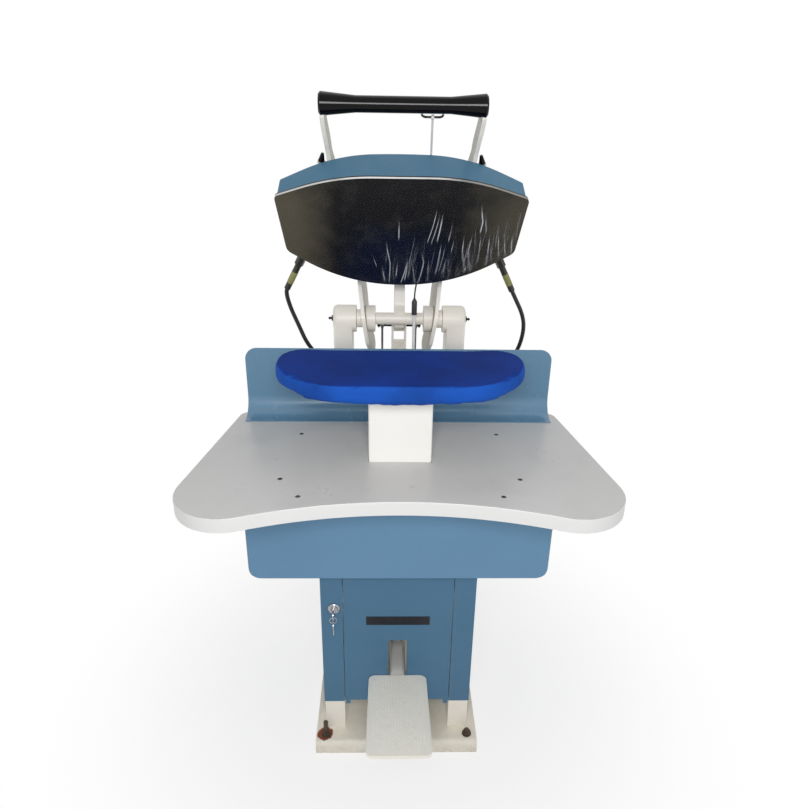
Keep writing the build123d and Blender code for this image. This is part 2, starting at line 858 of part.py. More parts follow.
def make_cover():
    outer = crowned(cover_inset, cover_top, cover_low)
    outer = fillet(outer.edges().filter_by_position(Axis.Z, pivot_z + 30, pivot_z + 90), cover_edge_round)
    inner = crowned(cover_inset + cover_sheet, cover_top - cover_sheet, cover_low - 5)
    cover = outer - inner
    for side in SIDES:
        cover -= rod(fitting_point(side, -60), fitting_point(side, 40), hose_nut_width / 2 + 2)
    for x, u in stud_places:
        y, _ = closed(u, 0)
        cover -= rod((x, y, pivot_z + shoe_top + 5), (x, y, pivot_z + cover_top + 10), stud_r + 2)
    return cover


cover_closed = make_cover()
save("head_cover", opened(cover_closed))
insulation = extrude(
    Plane.XY.offset(pivot_z + shoe_top) * shoe_outline(cover_inset + cover_sheet + insulation_gap), insulation_height - shoe_top
)
for x, u in stud_places:
    y, _ = closed(u, 0)
    insulation -= rod((x, y, pivot_z), (x, y, pivot_z + cover_top), stud_r + 1)
for side in SIDES:
    insulation -= rod(fitting_point(side, -36), fitting_point(side, 40), hose_nut_width / 2 + 1)
save("head_insulation", opened(insulation))

# Arms: bowed plates that run over the cover to the handle, with short tails below the pivot
arm_under_w = cover_top - 1
arm_front_w = cover_top - 11
arm_lower = [(-112, -36), (-45, -55), (35, -52), (132, arm_under_w), (425, arm_front_w), (535, 46)]
arm_upper = [(566, 82), (436, arm_front_w + 51), (95, arm_under_w + 45), (-20, 62), (-112, 34)]
arm_radii = [18, 30, 40, 60, 90, 14, 14, 90, 70, 60, 18]
arm_side_length = 260


def arm_outer_at(u):
    """How far the outer face of an arm lies from the middle, at a distance along the head."""
    for (u_low, x_low), (u_high, x_high) in zip(arm_plan, arm_plan[1:]):
        if u <= u_high:
            return x_low + (x_high - x_low) * (u - u_low) / (u_high - u_low)
    return arm_plan[-1][1]


def leaning(shape):
    """A cap's piece turned a little inwards about its bolt, in the closed pose."""
    lug_y, lug_z = closed(cap_u, cap_w)
    return shape.rotate(Axis((cap_x, lug_y, lug_z), (0, 0, 1)), -cap_lean)


def make_arm():
    points = [closed(u, w) for u, w in arm_lower + arm_upper]
    outline = side_plate(points, arm_radii, 0, arm_side_length)
    inner_face = [(x - arm_plate, pivot_y - u) for u, x in arm_plan]
    outer_face = [(x, pivot_y - u) for u, x in arm_plan]
    ribbon_points = inner_face + outer_face[::-1]
    ribbon = extrude(Plane.XY.offset(pivot_z - 200) * make_face(Polyline(*ribbon_points, close=True)), 500)
    arm = outline & ribbon
    shaft_hole = rod((0, pivot_y, pivot_z), (200, pivot_y, pivot_z), shaft_r)
    y, z = closed(handle_u, handle_w)
    screw_hole = rod((0, y, z), (2 * handle_half, y, z), 4)
    screw_seat = rod((handle_half - 4, y, z), (2 * handle_half, y, z), 8)
    lug_y, lug_z = closed(cap_u, cap_w)
    lug = block((cap_x - 24, cap_x + 9), (lug_y - lug_plate, lug_y), (lug_z - 9, lug_z + 12))
    lug -= rod((cap_x, lug_y - 30, lug_z), (cap_x, lug_y + 30, lug_z), 4)
    lug = leaning(lug)
    return arm - shaft_hole - screw_hole - screw_seat + lug


arm_closed = make_arm()
left_arm_closed = mirrored(arm_closed)
save("right_arm", opened(arm_closed))
save("left_arm", opened(left_arm_closed))

# Hubs, sleeve and shaft at the pivot
hub_end = housing_inner - thrust_gap
hub_middle = arm_outer_at(0) - arm_plate / 2
hub = rod((hub_inner, pivot_y, pivot_z), (hub_middle, pivot_y, pivot_z), hub_r)
hub += rod((hub_middle, pivot_y, pivot_z), (hub_end, pivot_y, pivot_z), thrust_r)
yoke = hub + mirrored(hub) + rod((-hub_inner, pivot_y, pivot_z), (hub_inner, pivot_y, pivot_z), sleeve_r)
yoke -= rod((-hub_end - 1, pivot_y, pivot_z), (hub_end + 1, pivot_y, pivot_z), shaft_r)
yoke = yoke - opened(arm_closed) - opened(left_arm_closed)
save("yoke_tube", *[solid for solid in yoke.solids() if solid.volume > 1000])
shaft_half = housing_outer - 9
save("pivot_shaft", rod((-shaft_half, pivot_y, pivot_z), (shaft_half, pivot_y, pivot_z), shaft_r))


# Cross bars between the arms, over the cover, and the studs that hang the shoe from them
bar_top = pivot_z + cross_bar_w + cross_bar_size / 2
bar_low = pivot_z + cross_bar_w - cross_bar_size / 2


def make_cross_bar(u):
    y, z = closed(u, cross_bar_w)
    half = cross_bar_size / 2
    reach = arm_outer_at(u)
    bar = block((-reach, reach), (y - half, y + half), (z - half, z + half))
    bar -= block((-reach - 1, reach + 1), (y - half + 4, y + half - 4), (z - half + 4, z + half - 4))
    for x, place in stud_places:
        if place == u:
            bar -= rod((x, y, z - 40), (x, y, z + 40), stud_r + 0.2)
    bar = bar - arm_closed - left_arm_closed
    bar = bar.solids().sort_by(SortBy.VOLUME)[-1]
    guide = block((rod_x - 8, rod_x + 8), (y - 6, y + 6), (pivot_z + rod_w - guide_wall, bar_low))
    return bar + guide - rod((rod_x, y - 30, pivot_z + rod_w), (rod_x, y + 30, pivot_z + rod_w), rod_r + soft_gap)


save("cross_bars", *[opened(make_cross_bar(u)) for u in (front_bar_u, rear_bar_u)])
studs = []
stud_nuts = []
for x, u in stud_places:
    y, _ = closed(u, 0)
    studs.append(opened(rod((x, y, pivot_z + shoe_top - 14), (x, y, bar_top + stud_nut_height + stud_over_nut), stud_r)))
    for low in (bar_low - stud_nut_height, bar_top):
        nut = hexagon((x, y, low), (x, y, low + stud_nut_height), stud_nut_width)
        stud_nuts.append(opened(nut - rod((x, y, low - 1), (x, y, low + 20), stud_r)))
save("hanger_studs", *studs, *stud_nuts)

# Centre lever: from the rear cross bar over the sleeve to the linkage pin
drop = radians(link_open_drop)
turn = radians(open_angle)
pin_open = (pivot_y + link_radius * cos(drop), pivot_z - link_radius * sin(drop))
pin_closed_angle = turn - drop
pin_u = -link_radius * cos(pin_closed_angle)
pin_w = link_radius * sin(pin_closed_angle)
lever_half = lever_width / 2
rear_bar_face_u = rear_bar_u - cross_bar_size / 2
lever_points = [
    (rear_bar_face_u, cross_bar_w - 14), (128, cross_bar_w - 18), (40, 5), (-30, -4), (pin_u - 14, pin_w - 14), (pin_u - 16, pin_w + 14),
    (-20, 62), (95, cross_bar_w + 14), (rear_bar_face_u, cross_bar_w + 14),
]
lever_radii = [0, 25, 20, 10, 12, 12, 30, 30, 0]
lever = side_plate([closed(u, w) for u, w in lever_points], lever_radii, -lever_half, lever_half)
lever -= rod((-50, pivot_y, pivot_z), (50, pivot_y, pivot_z), sleeve_r)
pin_y, pin_z = closed(pin_u, pin_w)
lever -= rod((-50, pin_y, pin_z), (50, pin_y, pin_z), link_pin_r)
save("centre_lever", opened(lever))
cross_pin = rod((-link_pin_half, *pin_open), (link_pin_half, *pin_open), link_pin_r)
collar_x = link_pin_half - 7
collar = rod((collar_x, *pin_open), (collar_x + 5, *pin_open), link_pin_r + 3)
save("cross_pin", cross_pin + collar + mirrored(collar))

# Handle: a turned grip with flared ends, screwed to the arm ends
handle_y, handle_z = closed(handle_u, handle_w)


def make_handle():
    straight = handle_half - handle_cone
    profile = [
        (0, 0), (handle_half, 0), (handle_half, handle_end_r - handle_end_round), (handle_half - handle_end_round, handle_end_r),
        (straight, handle_r), (-straight, handle_r), (-handle_half + handle_end_round, handle_end_r),
        (-handle_half, handle_end_r - handle_end_round), (-handle_half, 0),
    ]
    face = make_face(Polyline(*profile, close=True))
    grip = revolve(Plane.XZ * face, Axis.X)
    grip = Pos(0, handle_y, handle_z) * grip
    for side in SIDES:
        grip -= rod((side * (handle_half - 45), handle_y, handle_z), (side * (handle_half + 1), handle_y, handle_z), 4)
        grip -= rod((side * (handle_half - 4), handle_y, handle_z), (side * (handle_half + 1), handle_y, handle_z), 8)
    arm_slot = make_arm_clearance()
    return grip - arm_slot - mirrored(arm_slot)


def make_arm_clearance():
    """The arm end grown a little, for the slot in the grip."""
    end = side_plate([closed(u, w) for u, w in ((440, 70), (535, 45.6), (566.4, 82), (470, 145))], [0, 14, 14, 0], 0, 400)
    low, high = arm_outer_at(566) - arm_plate - 3, arm_outer_at(530) + 3
    return end & block((low, high), (-1000, 1000), (0, 3000))


grip_closed = make_handle()
save("handle_grip", opened(grip_closed))
handle_screws = []
for side in SIDES:
    head = rod((side * (handle_half - 4), handle_y, handle_z), (side * handle_half, handle_y, handle_z), 8)
    head -= hexagon((side * (handle_half - 2.5), handle_y, handle_z), (side * (handle_half + 1), handle_y, handle_z), 6)
    shank = rod((side * (handle_half - 45), handle_y, handle_z), (side * (handle_half - 4), handle_y, handle_z), 4)
    handle_screws.append(opened(head + shank))
save("handle_screws", *handle_screws)

# Conical cap nuts on the lugs beside the arms
y, z = closed(cap_u, cap_w)
cap_seat = y - lug_plate
cap_bolt = rod((cap_x, y + 6, z), (cap_x, cap_seat - 8, z), 4) + hexagon((cap_x, y + 6, z), (cap_x, y, z), 13)
washer = rod((cap_x, cap_seat, z), (cap_x, cap_seat - 4, z), cap_r + 1) - rod((cap_x, y, z), (cap_x, y - 40, z), 4)
cap_bolt += washer
cap_bolt = leaning(cap_bolt)
save("cap_bolts", opened(cap_bolt), opened(mirrored(cap_bolt)))
cone_start = cap_seat - 4
cap = Pos(cap_x, cone_start - cap_length / 2, z) * (Rot(90, 0, 0) * Cone(cap_r, cap_r * 0.45, cap_length))
cap -= rod((cap_x, y, z), (cap_x, cap_seat - 8, z), 4)
cap = leaning(cap)
save("cap_nuts", opened(cap), opened(mirrored(cap)))

# Hand steam control: a ring trigger behind the handle, its bracket, the rod over the head and its guides
_, ring_y, ring_z = open_point(0, trigger_pin_u, trigger_pin_w)
slide_dir = Vector(0, -cos(turn), sin(turn))
hinge_dir = Vector(0, sin(turn), cos(turn))
hinge_y = ring_y + trigger_reach * hinge_dir.Y
hinge_z = ring_z + trigger_reach * hinge_dir.Z
ring_plane = Plane(
    origin=(trigger_x, (ring_y + hinge_y) / 2, (ring_z + hinge_z) / 2),
    x_dir=(1, 0, 0),
    z_dir=slide_dir,
)
ring_wire = (ring_plane * RectangleRounded(trigger_width - 2 * trigger_bar_r, trigger_reach, 11)).wire()
ring_start = Plane(origin=ring_wire @ 0, z_dir=ring_wire % 0)
save("steam_trigger", sweep(ring_start * Circle(trigger_bar_r), path=ring_wire))
bracket_half = 7
open_handle = open_point(0, handle_u, handle_w)
pin_clear = 0.6
eye_r = trigger_bar_r + pin_clear + 2
trigger_travel = 4.7
eye_top = ring_z + eye_r + trigger_travel * sin(turn) + 0.4
reach_points = [
    (open_handle[1] + 4, open_handle[2] - 2), (open_handle[1] + 4, eye_top), (ring_y + 6, eye_top), (hinge_y + 2, hinge_z - 7),
    (hinge_y + 7, hinge_z), (hinge_y + 1, hinge_z + 7),
]
trigger_bracket = side_plate(reach_points, [0, 0, 0, 4, 4, 4], trigger_x - bracket_half, trigger_x + bracket_half)
trigger_bracket -= rod((0, open_handle[1], open_handle[2]), (120, open_handle[1], open_handle[2]), handle_r)
trigger_bracket -= rod((trigger_x - 20, hinge_y, hinge_z), (trigger_x + 20, hinge_y, hinge_z), trigger_bar_r + running_fit)
save("trigger_bracket", trigger_bracket)

rod_bend_u = 425
upper_route = [
    open_point(trigger_x, trigger_pin_u - 5, trigger_pin_w + 1.2),
    open_point(rod_x, rod_bend_u, rod_w),
    open_point(rod_x, rod_end_u, rod_w),
]
upper_rod = bent_pipe(upper_route, rod_r, 30)
eye = rod((trigger_x - 3, ring_y, ring_z), (trigger_x + 3, ring_y, ring_z), eye_r)
upper_rod = upper_rod + eye
upper_rod -= rod((trigger_x - 9, ring_y, ring_z), (trigger_x + 9, ring_y, ring_z), trigger_bar_r + pin_clear)
upper_rod = upper_rod.solids().sort_by(SortBy.VOLUME)[-1]
save("trigger_rod", upper_rod)
# Lower rod in front of the shaft: clevis above, stem of the spray valve below
lower_rod = rod((lower_rod_x, lower_rod_y, valve_top - 20), (lower_rod_x, lower_rod_y, clevis_low + 6), lower_rod_r)
clevis = rod((lower_rod_x, lower_rod_y, clevis_low), (lower_rod_x, lower_rod_y, clevis_high - 8), lower_rod_r + 3)
clevis += Pos(lower_rod_x, lower_rod_y, clevis_high - 4) * Cone(lower_rod_r + 3, 3, 8)
clevis -= rod((lower_rod_x, lower_rod_y, clevis_low - 1), (lower_rod_x, lower_rod_y, clevis_low + 6), lower_rod_r)
save("valve_rod", lower_rod + clevis)
valve_body = block((lower_rod_x - 18, lower_rod_x + 18), (101, 135), (table_rail_z[1], valve_top - 12))
valve_body = chamfer(valve_body.edges().filter_by(Axis.Z), 4)
valve_body += hexagon((lower_rod_x, lower_rod_y, valve_top - 12), (lower_rod_x, lower_rod_y, valve_top), 20)
valve_body -= rod((lower_rod_x, lower_rod_y, valve_top - 21), (lower_rod_x, lower_rod_y, valve_top + 1), lower_rod_r + running_fit)
save("spray_valve", valve_body)


def spray_pipe(side):
    valve_face = lower_rod_x + side * 18
    z = table_rail_z[1] + 22
    route = [(valve_face, 112, z), (side * riser_x, 112, z), (side * riser_x, riser_y - 3, z)]
    return bent_pipe(route, 5, 22) - rod((side * riser_x, riser_y, 0), (side * riser_x, riser_y, riser_top), pipe_r)



# Push and pull cable from the rod's end to the clevis
cable_route = [
    open_point(rod_x, rod_end_u, rod_w),
    open_point(rod_x, rod_end_u - 30, rod_w),
    (lower_rod_x, lower_rod_y, clevis_high + 34),
    (lower_rod_x, lower_rod_y, clevis_high),
]
save("trigger_cable", tube(cable_route, cable_r, "trigger cable"))

# Risers for steam and condensate, inside the casing, with stubs out of the back
risers = []
for side in SIDES:
    stub_end = casing_rear + stub_out
    route = [(side * riser_x, stub_end, riser_bottom), (side * riser_x, riser_y, riser_bottom), (side * riser_x, riser_y, riser_top)]
    riser = bent_pipe(route, pipe_r, 24)
    riser += rod((side * riser_x, casing_rear + 2, riser_bottom), (side * riser_x, stub_end, riser_bottom), stub_r)
    riser -= rod((side * riser_x, stub_end - stub_bore_depth, riser_bottom),
                 (side * riser_x, stub_end + 1, riser_bottom), stub_bore_r)
    risers.append(riser)
save("steam_pipes", *risers, spray_pipe(-1), spray_pipe(1))

# Hose ends on the frame: a straight nipple on the left and an elbow on the right
left_nipple = hexagon((-riser_x, riser_y, riser_top), (-riser_x, riser_y, riser_top + 18), 20)
left_nipple += rod((-riser_x, riser_y, riser_top + 18), (-riser_x, riser_y, riser_top + 42), ferrule_r)
elbow_z = riser_top + 13
right_elbow = block((riser_x - 13, riser_x + 13), (riser_y - 13, riser_y + 13), (riser_top, riser_top + 26))
right_elbow += hexagon((riser_x + 13, riser_y, elbow_z), (riser_x + 25, riser_y, elbow_z), 20)
right_elbow += rod((riser_x + 25, riser_y, elbow_z), (riser_x + 49, riser_y, elbow_z), ferrule_r)
save("riser_fittings", left_nipple, right_elbow)

# Hose ends on the head: nuts and ferrules that splay outwards from the rear corners
hose_nuts = []
ferrules = []
for side in SIDES:
    nut_start = fitting_boss
    nut_end = nut_start + fitting_nut
    ferrule_end = nut_end + fitting_ferrule
    hose_nuts.append(opened(hexagon(fitting_point(side, nut_start), fitting_point(side, nut_end), hose_nut_width)))
    ferrules.append(opened(rod(fitting_point(side, nut_end), fitting_point(side, ferrule_end), ferrule_r)))
save("hose_ends", *hose_nuts, *ferrules)



def hose_point(side, run):
    """A point of the open pose on the line of the ferrule, beyond its end."""
    distance = fitting_boss + fitting_nut + fitting_ferrule + run
    out = fitting_u - distance * cos(splay)
    return open_point(side * (fitting_x + distance * sin(splay)), out, fitting_w)


left_end = (-riser_x, riser_y, riser_top + 42)
right_end = (riser_x + 49, riser_y, elbow_z)
left_route = [
    hose_point(-1, 0),
    hose_point(-1, 12),
    (-287, 134, 1166),
    (-268, 145, 1112),
    (-249, 152, 1058),
    (-217, 166, 1014),
    (left_end[0], left_end[1], left_end[2] + 26),
    left_end,
]
right_route = [
    hose_point(1, 0),
    hose_point(1, 16),
    (330, 143, 1146),
    (338, 154, 1098),
    (328, 163, 1040),
    (299, 173, 986),
    (right_end[0] + 24, right_end[1], right_end[2]),
    right_end,
]
save("left_hose", tube(left_route, hose_r, "left hose"))
save("right_hose", tube(right_route, hose_r, "right hose"))

# Pedal: a straight lever on a cross axle, the tread plate at its front, tilted up at rest
tilt = radians(pedal_tilt)
axle = (pedal_axle_y, pedal_axle_z)


def on_lever(reach, height):
    """A (y, z) point by its distance ahead of the axle along the lever and its height off the lever's line."""
    return (
        pedal_axle_y - reach * cos(tilt) - height * sin(tilt),
        pedal_axle_z + reach * sin(tilt) - height * -cos(tilt),
    )


def lever_bar(reach_low, reach_high, low, high, x_low, x_high):
    corners = [on_lever(reach_low, low), on_lever(reach_high, low), on_lever(reach_high, high), on_lever(reach_low, high)]
    return extrude(Plane.YZ.offset(x_low) * make_face(Polyline(*corners, close=True)), x_high - x_low)


half_height = pedal_arm_height / 2
half_arm = pedal_arm_width / 2
pedal_end = pedal_start + pedal_length
hub_half = half_arm + 9


def make_pedal_arm():
    arm = lever_bar(-pedal_rear_arm - 16, pedal_end - 60, -half_height, half_height, -half_arm, half_arm)
    long_edges = [e for e in arm.edges().filter_by(GeomType.LINE) if e.length > pedal_start]
    arm = fillet(long_edges, 9)
    arm += rod((-hub_half, *axle), (hub_half, *axle), 25)
    arm -= rod((-50, *axle), (50, *axle), pedal_axle_r + running_fit)
    pin = on_lever(-pedal_rear_arm, 0)
    arm -= rod((-50, *pin), (50, *pin), link_pin_r + running_fit)
    return arm


save("pedal_arm", make_pedal_arm())


def make_pedal_plate():
    plate = lever_bar(pedal_start, pedal_end, half_height, half_height + pedal_thickness, -pedal_width / 2, pedal_width / 2)
    corner_edges = [e for e in plate.edges().filter_by(GeomType.LINE) if abs(e.length - pedal_thickness) < 0.01]
    plate = fillet(corner_edges, 18)
    for side in SIDES:
        x = sorted((side * (pedal_width / 2 - 8), side * (pedal_width / 2 - 2)))
        plate += lever_bar(pedal_start + 18, pedal_end - 18, half_height - pedal_rib, half_height + 1, *x)
    return plate


save("pedal_plate", make_pedal_plate())
axle_half = hub_half + 0.5 + 8
stand_x = (hub_half + 0.5, hub_half + 8.5)
stand_points = [
    (pedal_axle_y - 45, base_height), (pedal_axle_y + 45, base_height), (pedal_axle_y + 22, pedal_axle_z + 22),
    (pedal_axle_y - 22, pedal_axle_z + 22),
]
stand = side_plate(stand_points, [0, 0, 20, 20], *stand_x)
stand += block((stand_x[0], stand_x[1] + 30), (pedal_axle_y - 45, pedal_axle_y + 45), (base_height, base_height + 8))
stand -= rod((0, *axle), (100, *axle), pedal_axle_r)
save("pedal_stands", stand + mirrored(stand) + rod((-axle_half, *axle), (axle_half, *axle), pedal_axle_r))

# Push rod from the pedal's rear eye to the cross pin on the centre lever
rear_pin = on_lever(-pedal_rear_arm, 0)
fork_half = lever_half + 0.5 + fork_wall
low_fork_half = half_arm + 0.5 + fork_wall
pin_play = 1.0
half_turn = radians(open_angle / 2)
pin_travel = link_radius * (1 - cos(half_turn)) - pedal_rear_arm * (1 - cos(half_turn / 3))


def make_push_rod():
    top_y, top_z = pin_open
    slot_ends = (top_y, top_y + pin_travel)
    top_y += pin_travel / 2
    low_y, low_z = rear_pin
    weld_in = 12
    body = rod((0, low_y, low_z + lower_fork_depth - weld_in), (0, top_y, top_z - upper_fork_depth + weld_in), push_tube_r)
    upper_y = (top_y - upper_fork_r, top_y + upper_fork_r)
    upper = block((-fork_half, fork_half), upper_y, (top_z - upper_fork_depth, top_z))
    upper += rod((-fork_half, top_y, top_z), (fork_half, top_y, top_z), upper_fork_r)
    gap = lever_half + 0.5
    upper -= block((-gap, gap), (top_y - 40, top_y + 40), (top_z - upper_fork_slot, top_z + 40))
    slot_r = link_pin_r + pin_play
    for y in slot_ends:
        upper -= rod((-60, y, top_z), (60, y, top_z), slot_r)
    upper -= block((-60, 60), slot_ends, (top_z - slot_r, top_z + slot_r))
    lower_y = (low_y - lower_fork_r, low_y + lower_fork_r)
    lower = block((-low_fork_half, low_fork_half), lower_y, (low_z, low_z + lower_fork_depth))
    lower += rod((-low_fork_half, low_y, low_z), (low_fork_half, low_y, low_z), lower_fork_r)
    low_gap = half_arm + 0.5
    lower -= block((-low_gap, low_gap), (low_y - 30, low_y + 30), (low_z - 30, low_z + lower_fork_slot))
    lower -= rod((-60, low_y, low_z), (60, low_y, low_z), link_pin_r)
    return body + upper + lower


rear_pin_half = low_fork_half + 4
save("push_rod", make_push_rod() + rod((-rear_pin_half, *rear_pin), (rear_pin_half, *rear_pin), link_pin_r))

# Balance springs: pull rods hung from the cross pin, springs under a plate between the uprights
spring_top = spring_plate_z
spring_low = spring_top - spring_length
pull_rods = []
springs = []
for side in SIDES:
    x = side * spring_rod_x
    eye = rod((x - 4, *pin_open), (x + 4, *pin_open), link_pin_r + 5)
    stem = rod((x, pin_open[0], spring_low - 26), (x, pin_open[0], pin_open[1] - link_pin_r), spring_rod_r)
    pull = eye + stem
    pull -= rod((x - 9, *pin_open), (x + 9, *pin_open), link_pin_r + running_fit)
    washer_low = spring_low - spring_washer
    pull += rod((x, pin_open[0], washer_low), (x, pin_open[0], spring_low), spring_r + 1)
    pull += hexagon((x, pin_open[0], washer_low - 7), (x, pin_open[0], washer_low), 11)
    pull_rods.append(pull)
    spring = rod((x, pin_open[0], spring_low), (x, pin_open[0], spring_top - soft_gap), spring_r)
    spring -= rod((x, pin_open[0], spring_low - 1), (x, pin_open[0], spring_top + 1), spring_r - spring_wire)
    springs.append(spring)
save("spring_rods", *pull_rods)
save("balance_springs", *springs)
plate_y = (rear_beam_y[1] + 6, upright_front + upright_depth - 4)
spring_seat = block((-upright_inner, upright_inner), plate_y, (spring_plate_z, spring_plate_z + spring_plate))
spring_seat -= block((-26, 26), (plate_y[0] + 10, plate_y[1] + 1), (spring_plate_z - 1, spring_plate_z + spring_plate + 1))
for side in SIDES:
    x = side * spring_rod_x
    slot = block((x - spring_rod_r - 1, x + spring_rod_r + 1), (pin_open[0] - 8, pin_open[0] + 20),
                 (spring_plate_z - 1, spring_plate_z + spring_plate + 1))
    spring_seat -= slot
frame_pieces.append(spring_seat)

# Stop bar with rubber sleeves that the arm tails rest on when the head is open
_, tail_a_y, tail_a_z = open_point(0, *arm_lower[1])
_, tail_b_y, tail_b_z = open_point(0, *arm_lower[0])
edge = Vector(0, tail_b_y - tail_a_y, tail_b_z - tail_a_z).normalized()
outward = Vector(0, edge.Z, -edge.Y)
touch = Vector(0, tail_a_y, tail_a_z) * 0.35 + Vector(0, tail_b_y, tail_b_z) * 0.65
stop_centre = touch + outward * (stop_rubber_r + soft_gap)
stop_y, stop_z = stop_centre.Y, stop_centre.Z
frame_pieces.append(rod((-upright_inner, stop_y, stop_z), (upright_inner, stop_y, stop_z), stop_bar_r))
support_frame = frame_pieces[0]
for piece in frame_pieces[1:]:
    support_frame += piece
save("support_frame", support_frame)
tail_middle = arm_outer_at(0.35 * arm_lower[1][0] + 0.65 * arm_lower[0][0]) - arm_plate / 2
rubber_ends = (tail_middle - stop_rubber_half, tail_middle + stop_rubber_half)
rubber = rod((rubber_ends[0], stop_y, stop_z), (rubber_ends[1], stop_y, stop_z), stop_rubber_r)
rubber -= rod((rubber_ends[0] - 1, stop_y, stop_z), (rubber_ends[1] + 1, stop_y, stop_z), stop_bar_r)
save("stop_rubbers", rubber, mirrored(rubber))

os.makedirs("parts", exist_ok=True)
for name, shape in nodes.items():
    export_step(shape, f"parts/{name}.step")
print(len(nodes), "nodes")
print("pivot", pivot_y, pivot_z, "pin open", [round(v, 2) for v in pin_open], "rear pin", [round(v, 2) for v in rear_pin])
print("trigger hinge", round(hinge_y, 2), round(hinge_z, 2), "slide", [round(v, 4) for v in slide_dir])
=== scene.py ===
"""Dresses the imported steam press: finishes, pad, springs, hoses, film, fasteners, camera and light."""

import json
import logging
import math
import random
from dataclasses import dataclass, field
from enum import Enum
from typing import Any, Callable, Iterable, Sequence

import bmesh
import bpy
from mathutils import Matrix, Vector

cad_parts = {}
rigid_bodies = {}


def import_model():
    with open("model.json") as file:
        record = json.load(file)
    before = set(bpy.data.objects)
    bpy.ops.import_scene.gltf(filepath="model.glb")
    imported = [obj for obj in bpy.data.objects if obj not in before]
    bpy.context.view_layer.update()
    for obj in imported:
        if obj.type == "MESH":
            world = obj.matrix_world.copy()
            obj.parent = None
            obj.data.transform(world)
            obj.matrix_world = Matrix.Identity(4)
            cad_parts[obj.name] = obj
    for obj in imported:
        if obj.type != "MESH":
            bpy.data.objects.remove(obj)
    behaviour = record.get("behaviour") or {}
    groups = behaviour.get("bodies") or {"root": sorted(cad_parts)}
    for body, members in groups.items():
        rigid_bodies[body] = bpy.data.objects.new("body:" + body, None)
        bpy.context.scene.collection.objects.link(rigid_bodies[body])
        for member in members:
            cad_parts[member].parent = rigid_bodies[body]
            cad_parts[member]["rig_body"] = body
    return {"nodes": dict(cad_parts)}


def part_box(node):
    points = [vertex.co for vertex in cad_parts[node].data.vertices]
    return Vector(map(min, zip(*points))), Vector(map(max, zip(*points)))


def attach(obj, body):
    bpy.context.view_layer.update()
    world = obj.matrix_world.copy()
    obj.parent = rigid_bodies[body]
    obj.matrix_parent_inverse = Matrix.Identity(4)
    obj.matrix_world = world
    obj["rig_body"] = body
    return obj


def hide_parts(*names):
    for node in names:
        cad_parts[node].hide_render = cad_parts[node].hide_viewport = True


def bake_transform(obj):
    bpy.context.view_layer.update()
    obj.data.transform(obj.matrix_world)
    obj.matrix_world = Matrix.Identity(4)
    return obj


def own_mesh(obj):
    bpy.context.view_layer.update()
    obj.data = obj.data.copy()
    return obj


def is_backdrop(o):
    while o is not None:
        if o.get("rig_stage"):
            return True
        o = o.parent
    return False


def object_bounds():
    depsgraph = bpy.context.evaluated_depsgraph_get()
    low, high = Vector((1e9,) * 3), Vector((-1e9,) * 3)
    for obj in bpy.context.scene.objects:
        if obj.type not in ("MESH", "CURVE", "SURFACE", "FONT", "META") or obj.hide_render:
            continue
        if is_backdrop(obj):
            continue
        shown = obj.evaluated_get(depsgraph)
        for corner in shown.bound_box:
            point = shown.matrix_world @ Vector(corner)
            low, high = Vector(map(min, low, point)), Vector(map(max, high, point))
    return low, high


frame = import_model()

log = logging.getLogger("steam_press")
Colour = tuple[float, float, float, float]
Point = tuple[float, float, float]
Line = Sequence[tuple[float, float]]
Socket = bpy.types.NodeSocket
Piece = bpy.types.Object
Material = bpy.types.Material

# Directions of the open head and of the pedal, in metres from their own axles
PIVOT = Vector((0.0, 0.156, 1.130))
OPEN_ANGLE = math.radians(66.0)
HEAD_FORWARD = Vector((0.0, -math.cos(OPEN_ANGLE), math.sin(OPEN_ANGLE)))
HEAD_UP = Vector((0.0, math.sin(OPEN_ANGLE), math.cos(OPEN_ANGLE)))
PEDAL_TILT = math.radians(11.0)
PEDAL_AXLE = Vector((0.0, 0.040, 0.180))
PEDAL_FORWARD = Vector((0.0, -math.cos(PEDAL_TILT), math.sin(PEDAL_TILT)))
PEDAL_UP = Vector((0.0, math.sin(PEDAL_TILT), math.cos(PEDAL_TILT)))

# Folds of the film, each a line of places across and along the head in millimetres
FOLDS: list[tuple[tuple[float, float], ...]] = [
    ((-28, 141), (-26, 199), (-36, 264)), ((2, 141), (16, 210)), ((11, 149), (17, 214)),
    ((37, 138), (28, 207)),
    ((44, 138), (56, 203), (49, 236)), ((68, 142), (68, 215)), ((63, 262), (81, 354)), ((72, 258), (88, 341)),
    ((86, 266), (95, 341)), ((87, 170), (96, 259)), ((95, 177), (106, 255)), ((103, 170), (111, 223)),
    ((113, 266), (119, 318)), ((121, 234), (126, 273)), ((160, 178), (148, 238), (149, 281)),
    ((157, 171), (157, 208)),
    ((172, 178), (162, 238), (168, 284)), ((188, 205), (189, 285)), ((186, 291), (189, 319), (182, 368)),
    ((210, 198), (210, 285)), ((200, 292), (194, 342)), ((221, 209), (215, 267)), ((238, 221), (230, 292)),
    ((253, 225), (246, 282)), ((267, 232), (263, 286)), ((-60, 191), (-69, 228)), ((-6, 271), (-6, 323)),
    ((-39, 145), (-45, 191)), ((142, 163), (152, 193)), ((-11, 161), (-8, 206)),
]
LEFT_ROUTE: list[Point] = [
    (-0.28966, 0.11855, 1.22026), (-0.29483, 0.12296, 1.21037), (-0.287, 0.134, 1.166),
    (-0.268, 0.145, 1.112),
    (-0.249, 0.152, 1.058), (-0.217, 0.166, 1.014), (-0.1875, 0.18, 0.993), (-0.1875, 0.18, 0.967),
]
RIGHT_ROUTE: list[Point] = [
    (0.28966, 0.11855, 1.22026), (0.29655, 0.12442, 1.20707), (0.33, 0.143, 1.146), (0.338, 0.154, 1.098),
    (0.328, 0.163, 1.04), (0.299, 0.173, 0.986), (0.2605, 0.18, 0.938), (0.2365, 0.18, 0.938),
]
